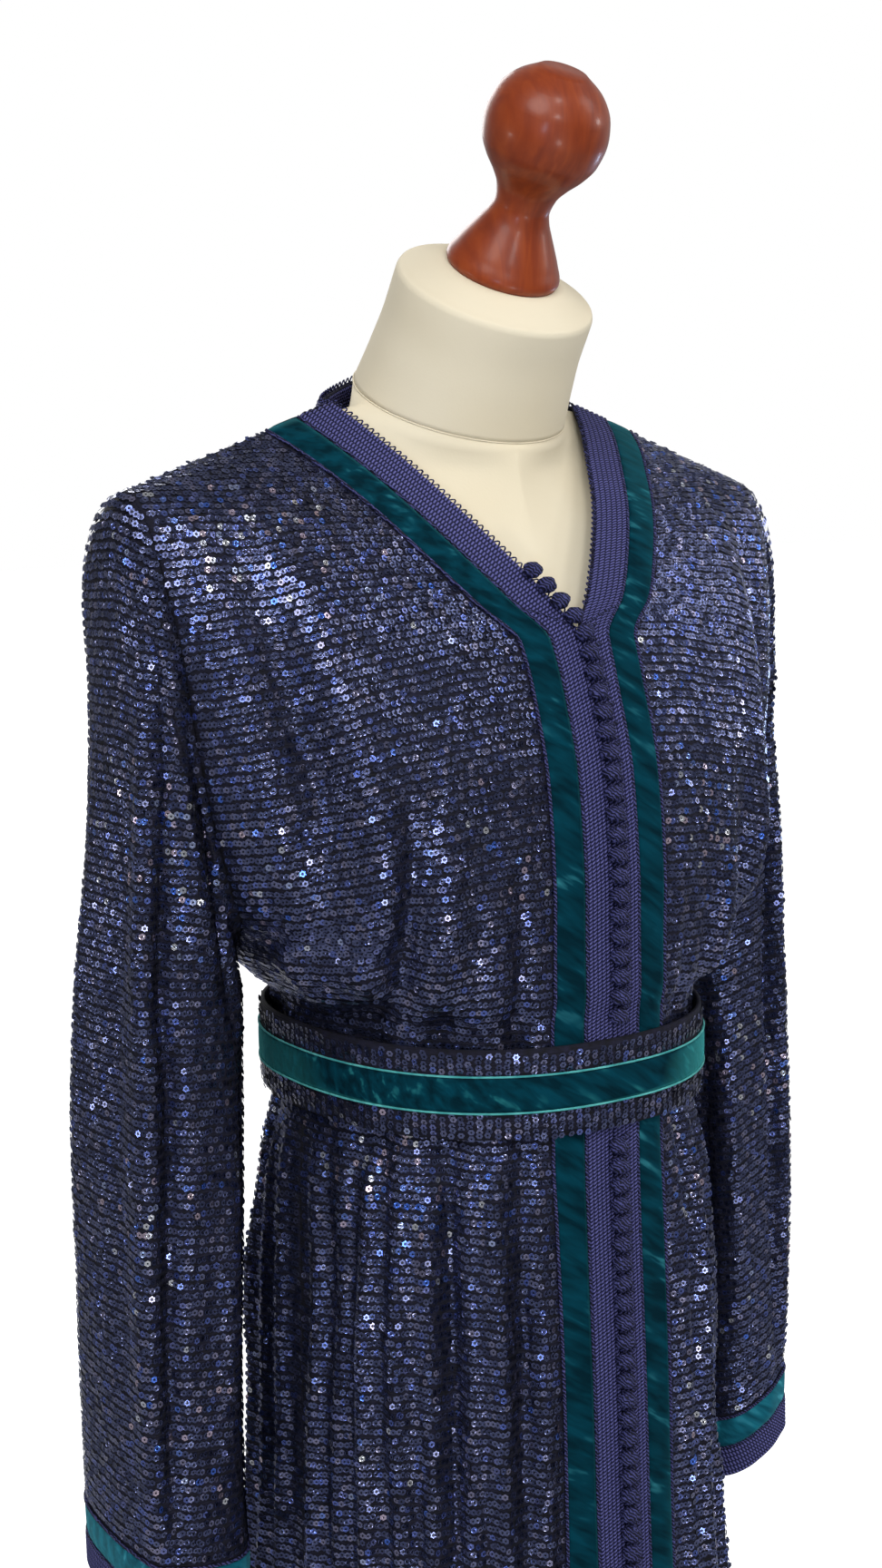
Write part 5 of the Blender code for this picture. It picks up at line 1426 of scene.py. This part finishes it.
def neck_station(share):
    """The neck's middle, y and z, and its tilt at a share of the way up."""
    return (NECK_RING_Y + (NECK_TOP_Y - NECK_RING_Y) * share,
            NECK_RING_Z + (NECK_TOP_Z - NECK_RING_Z) * share,
            NECK_RING_TILT + (NECK_TOP_TILT - NECK_RING_TILT) * share)


def make_form():
    """The dress form: torso and neck in jersey, with the seam cord between them."""
    turn = np.linspace(0, 2 * np.pi, 96, endpoint=False)
    sine, cosine = np.sin(turn), np.cos(turn)
    rows = table(TORSO_COLUMNS, TORSO_ROWS)
    wide = {name: column[:, None] for name, column in rows.items()}
    side_z = np.where(wide["side_z"] == 0, shoulder_z(wide["side"]) - CLOTH - FORM_CLEARANCE,
                      wide["side_z"])
    power = 2 / wide["round"]
    x = wide["side"] * rounded(sine, power)
    far = np.where(cosine > 0, wide["middle_y"] - wide["front"], wide["back"] - wide["middle_y"])
    y = wide["middle_y"] - far * rounded(cosine, power)
    far_z = np.where(cosine > 0, wide["front_z"], wide["back_z"])
    roll = TORSO_SHOULDER_ROLL * np.clip((side_z - TORSO_ROLL_START) / TORSO_ROLL_FADE, 0, 1)
    z = (side_z + (far_z - side_z) * np.abs(cosine) ** TORSO_SIDE_CURVE
         - roll * np.abs(sine * cosine))
    top = tilted_rings(np.array([NECK_RING_RADIUS]), np.array([NECK_RING_Y]),
                       np.array([NECK_RING_Z]), np.array([NECK_RING_TILT]), turn)
    sections = np.concatenate([np.stack([x, y, z], axis=-1), top])
    places = section_places(sections)
    torso = rings_piece("form_torso_smooth", loft(sections, places, np.linspace(0, places[-1], 64)),
                        JERSEY, "jersey_cream")
    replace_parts(torso, "form_torso")
    share, radius = np.array(NECK_OUTLINE).T
    fine = np.concatenate([np.linspace(0, 0.93, 20)[:-1], np.linspace(0.93, share[-1], 26)])
    neck = rings_piece("form_neck_smooth", tilted_rings(loft(radius, share, fine),
                                                        *neck_station(fine), turn),
                       JERSEY, "jersey_cream")
    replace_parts(neck, "form_neck")
    seam = closed(top) + (0, 0, 0.0003)
    off = unit(seam - (0, NECK_RING_Y, NECK_RING_Z))
    cords("form_neck_seam", seam, FINE_CORD_RADIUS, off, JERSEY, "jersey_cream")


def turned(name, profile, node, place=None, steps=64):
    """A solid turned on its own axis, its outline a monotone cubic through a profile."""
    radius, height = np.array(profile).T
    places = summed(np.hypot(np.diff(radius), np.diff(height)))
    fine = np.unique(np.concatenate([np.linspace(0, places[-1], steps), places]))
    turn = np.linspace(0, 2 * np.pi, 72, endpoint=False)
    r, h = loft(radius, places, fine)[:, None], loft(height, places, fine)[:, None]
    rings = np.stack([r * np.cos(turn), r * np.sin(turn), h * np.ones_like(turn)], axis=-1)
    if place is not None:
        spin = np.array(place)
        rings = rings @ spin[:3, :3].T + spin[:3, 3]
    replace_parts(rings_piece(name, rings, WOOD, "wood_turned"), node)


def make_stand():
    """The finial, pole and base, turned in wood."""
    y, z, tilt = neck_station(CAP_TOP_SHARE)
    seat = Matrix.Translation((0, y - SEAM * np.sin(tilt), z + SEAM * np.cos(tilt)))
    turned("finial_turned", FINIAL_PROFILE, "finial", seat @ Matrix.Rotation(tilt, 4, "X"))
    turned("stand_base_turned", BASE_PROFILE, "stand_base")
    turned("stand_pole_turned", ((POLE_RADIUS, BASE_HEIGHT + SEAM),
                                 (POLE_RADIUS, TORSO_BOTTOM_Z - SEAM)), "stand_pole",
           steps=2)


def make_studio():
    """A pale floor, white behind the stand, soft light, and small lamps for the sparkle."""
    half = 40.0
    mesh = bpy.data.meshes.new("studio_floor")
    mesh.from_pydata([(-half, -half, 0), (half, -half, 0), (half, half, 0), (-half, half, 0)],
                     [], [(0, 1, 2, 3)])
    mesh.materials.append(studio_paper())
    floor = bpy.data.objects.new("studio_floor", mesh)
    bpy.context.scene.collection.objects.link(floor)
    world = bpy.data.worlds.new("studio")
    bpy.context.scene.world = world
    world.use_nodes = True
    tree = world.node_tree
    way = add(tree, "TexCoord").outputs["Generated"]
    ahead = add(tree, "VectorMath", {"operation": "DOT_PRODUCT"},
                {0: way, 1: CAMERA_FORWARD}).outputs["Value"]
    glow = add(tree, "ValToRGB", {"stops": [(0.2, 0.28), (0.8, 0.55)]},
               {"Fac": ahead}).outputs[0]
    seen = add(tree, "LightPath").outputs["Is Camera Ray"]
    backdrop = add(tree, "Mix", {"data_type": "RGBA"},
                   {0: seen, 6: glow, 7: (1.0, 1.0, 1.0, 1.0)}).outputs[2]
    tree.links.new(backdrop, tree.nodes["Background"].inputs["Color"])
    target = Vector((0, 0, 1.25))
    white, blue = (1.0, 1.0, 1.0), (0.55, 0.72, 1.0)
    for name, place, size, power, colour in (
            ("soft_key", (-1.3, -1.2, 2.7), 1.3, 26, white),
            ("soft_fill", (1.9, -1.5, 3.1), 1.2, 13, white),
            ("soft_back", (0.6, 2.6, 2.6), 1.4, 24, white),
            ("lamp_top", (-0.2, -1.5, 2.9), 0.30, 7, white),
            ("lamp_chest", (-0.5, -1.9, 2.0), 0.30, 6, white),
            ("lamp_skirt", (-0.3, -1.9, 0.5), 0.26, 5, white),
            ("lamp_ridge", (-1.4, -1.8, 1.2), 0.26, 5, blue),
            ("lamp_sleeve", (-2.0, 0.5, 1.2), 0.26, 3, white),
            ("lamp_right", (2.2, -0.9, 2.0), 0.30, 7, white),
            ("lamp_far", (2.2, 0.6, 1.1), 0.26, 4, blue)):
        light = bpy.data.lights.new(name, "AREA")
        light.shape = "DISK"
        light.size = size
        light.energy = power
        light.color = colour
        lamp = bpy.data.objects.new(name, light)
        lamp.location = place
        lamp.rotation_euler = (target - lamp.location).to_track_quat("-Z", "Y").to_euler()
        bpy.context.scene.collection.objects.link(lamp)


def make_camera():
    """The photograph's view, worked out from the stand, the belt and the shoulders."""
    data = bpy.data.cameras.new("camera")
    data.lens = CAMERA_LENS
    data.sensor_width = CAMERA_SENSOR
    camera = bpy.data.objects.new("camera", data)
    columns = [CAMERA_RIGHT, CAMERA_UP, [-part for part in CAMERA_FORWARD], CAMERA_PLACE]
    rows = np.vstack([np.array(columns).T, (0, 0, 0, 1)])
    camera.matrix_world = Matrix(rows.tolist())
    bpy.context.scene.collection.objects.link(camera)
    bpy.context.scene.camera = camera


make_camera()
make_studio()
make_form()
make_stand()
make_front(-1, "right")
make_front(1, "left")
make_back()
make_sleeve(-1, "right")
make_sleeve(1, "left")
make_belt()
make_knots()
make_picots()
bpy.context.scene.view_settings.view_transform = "Standard"
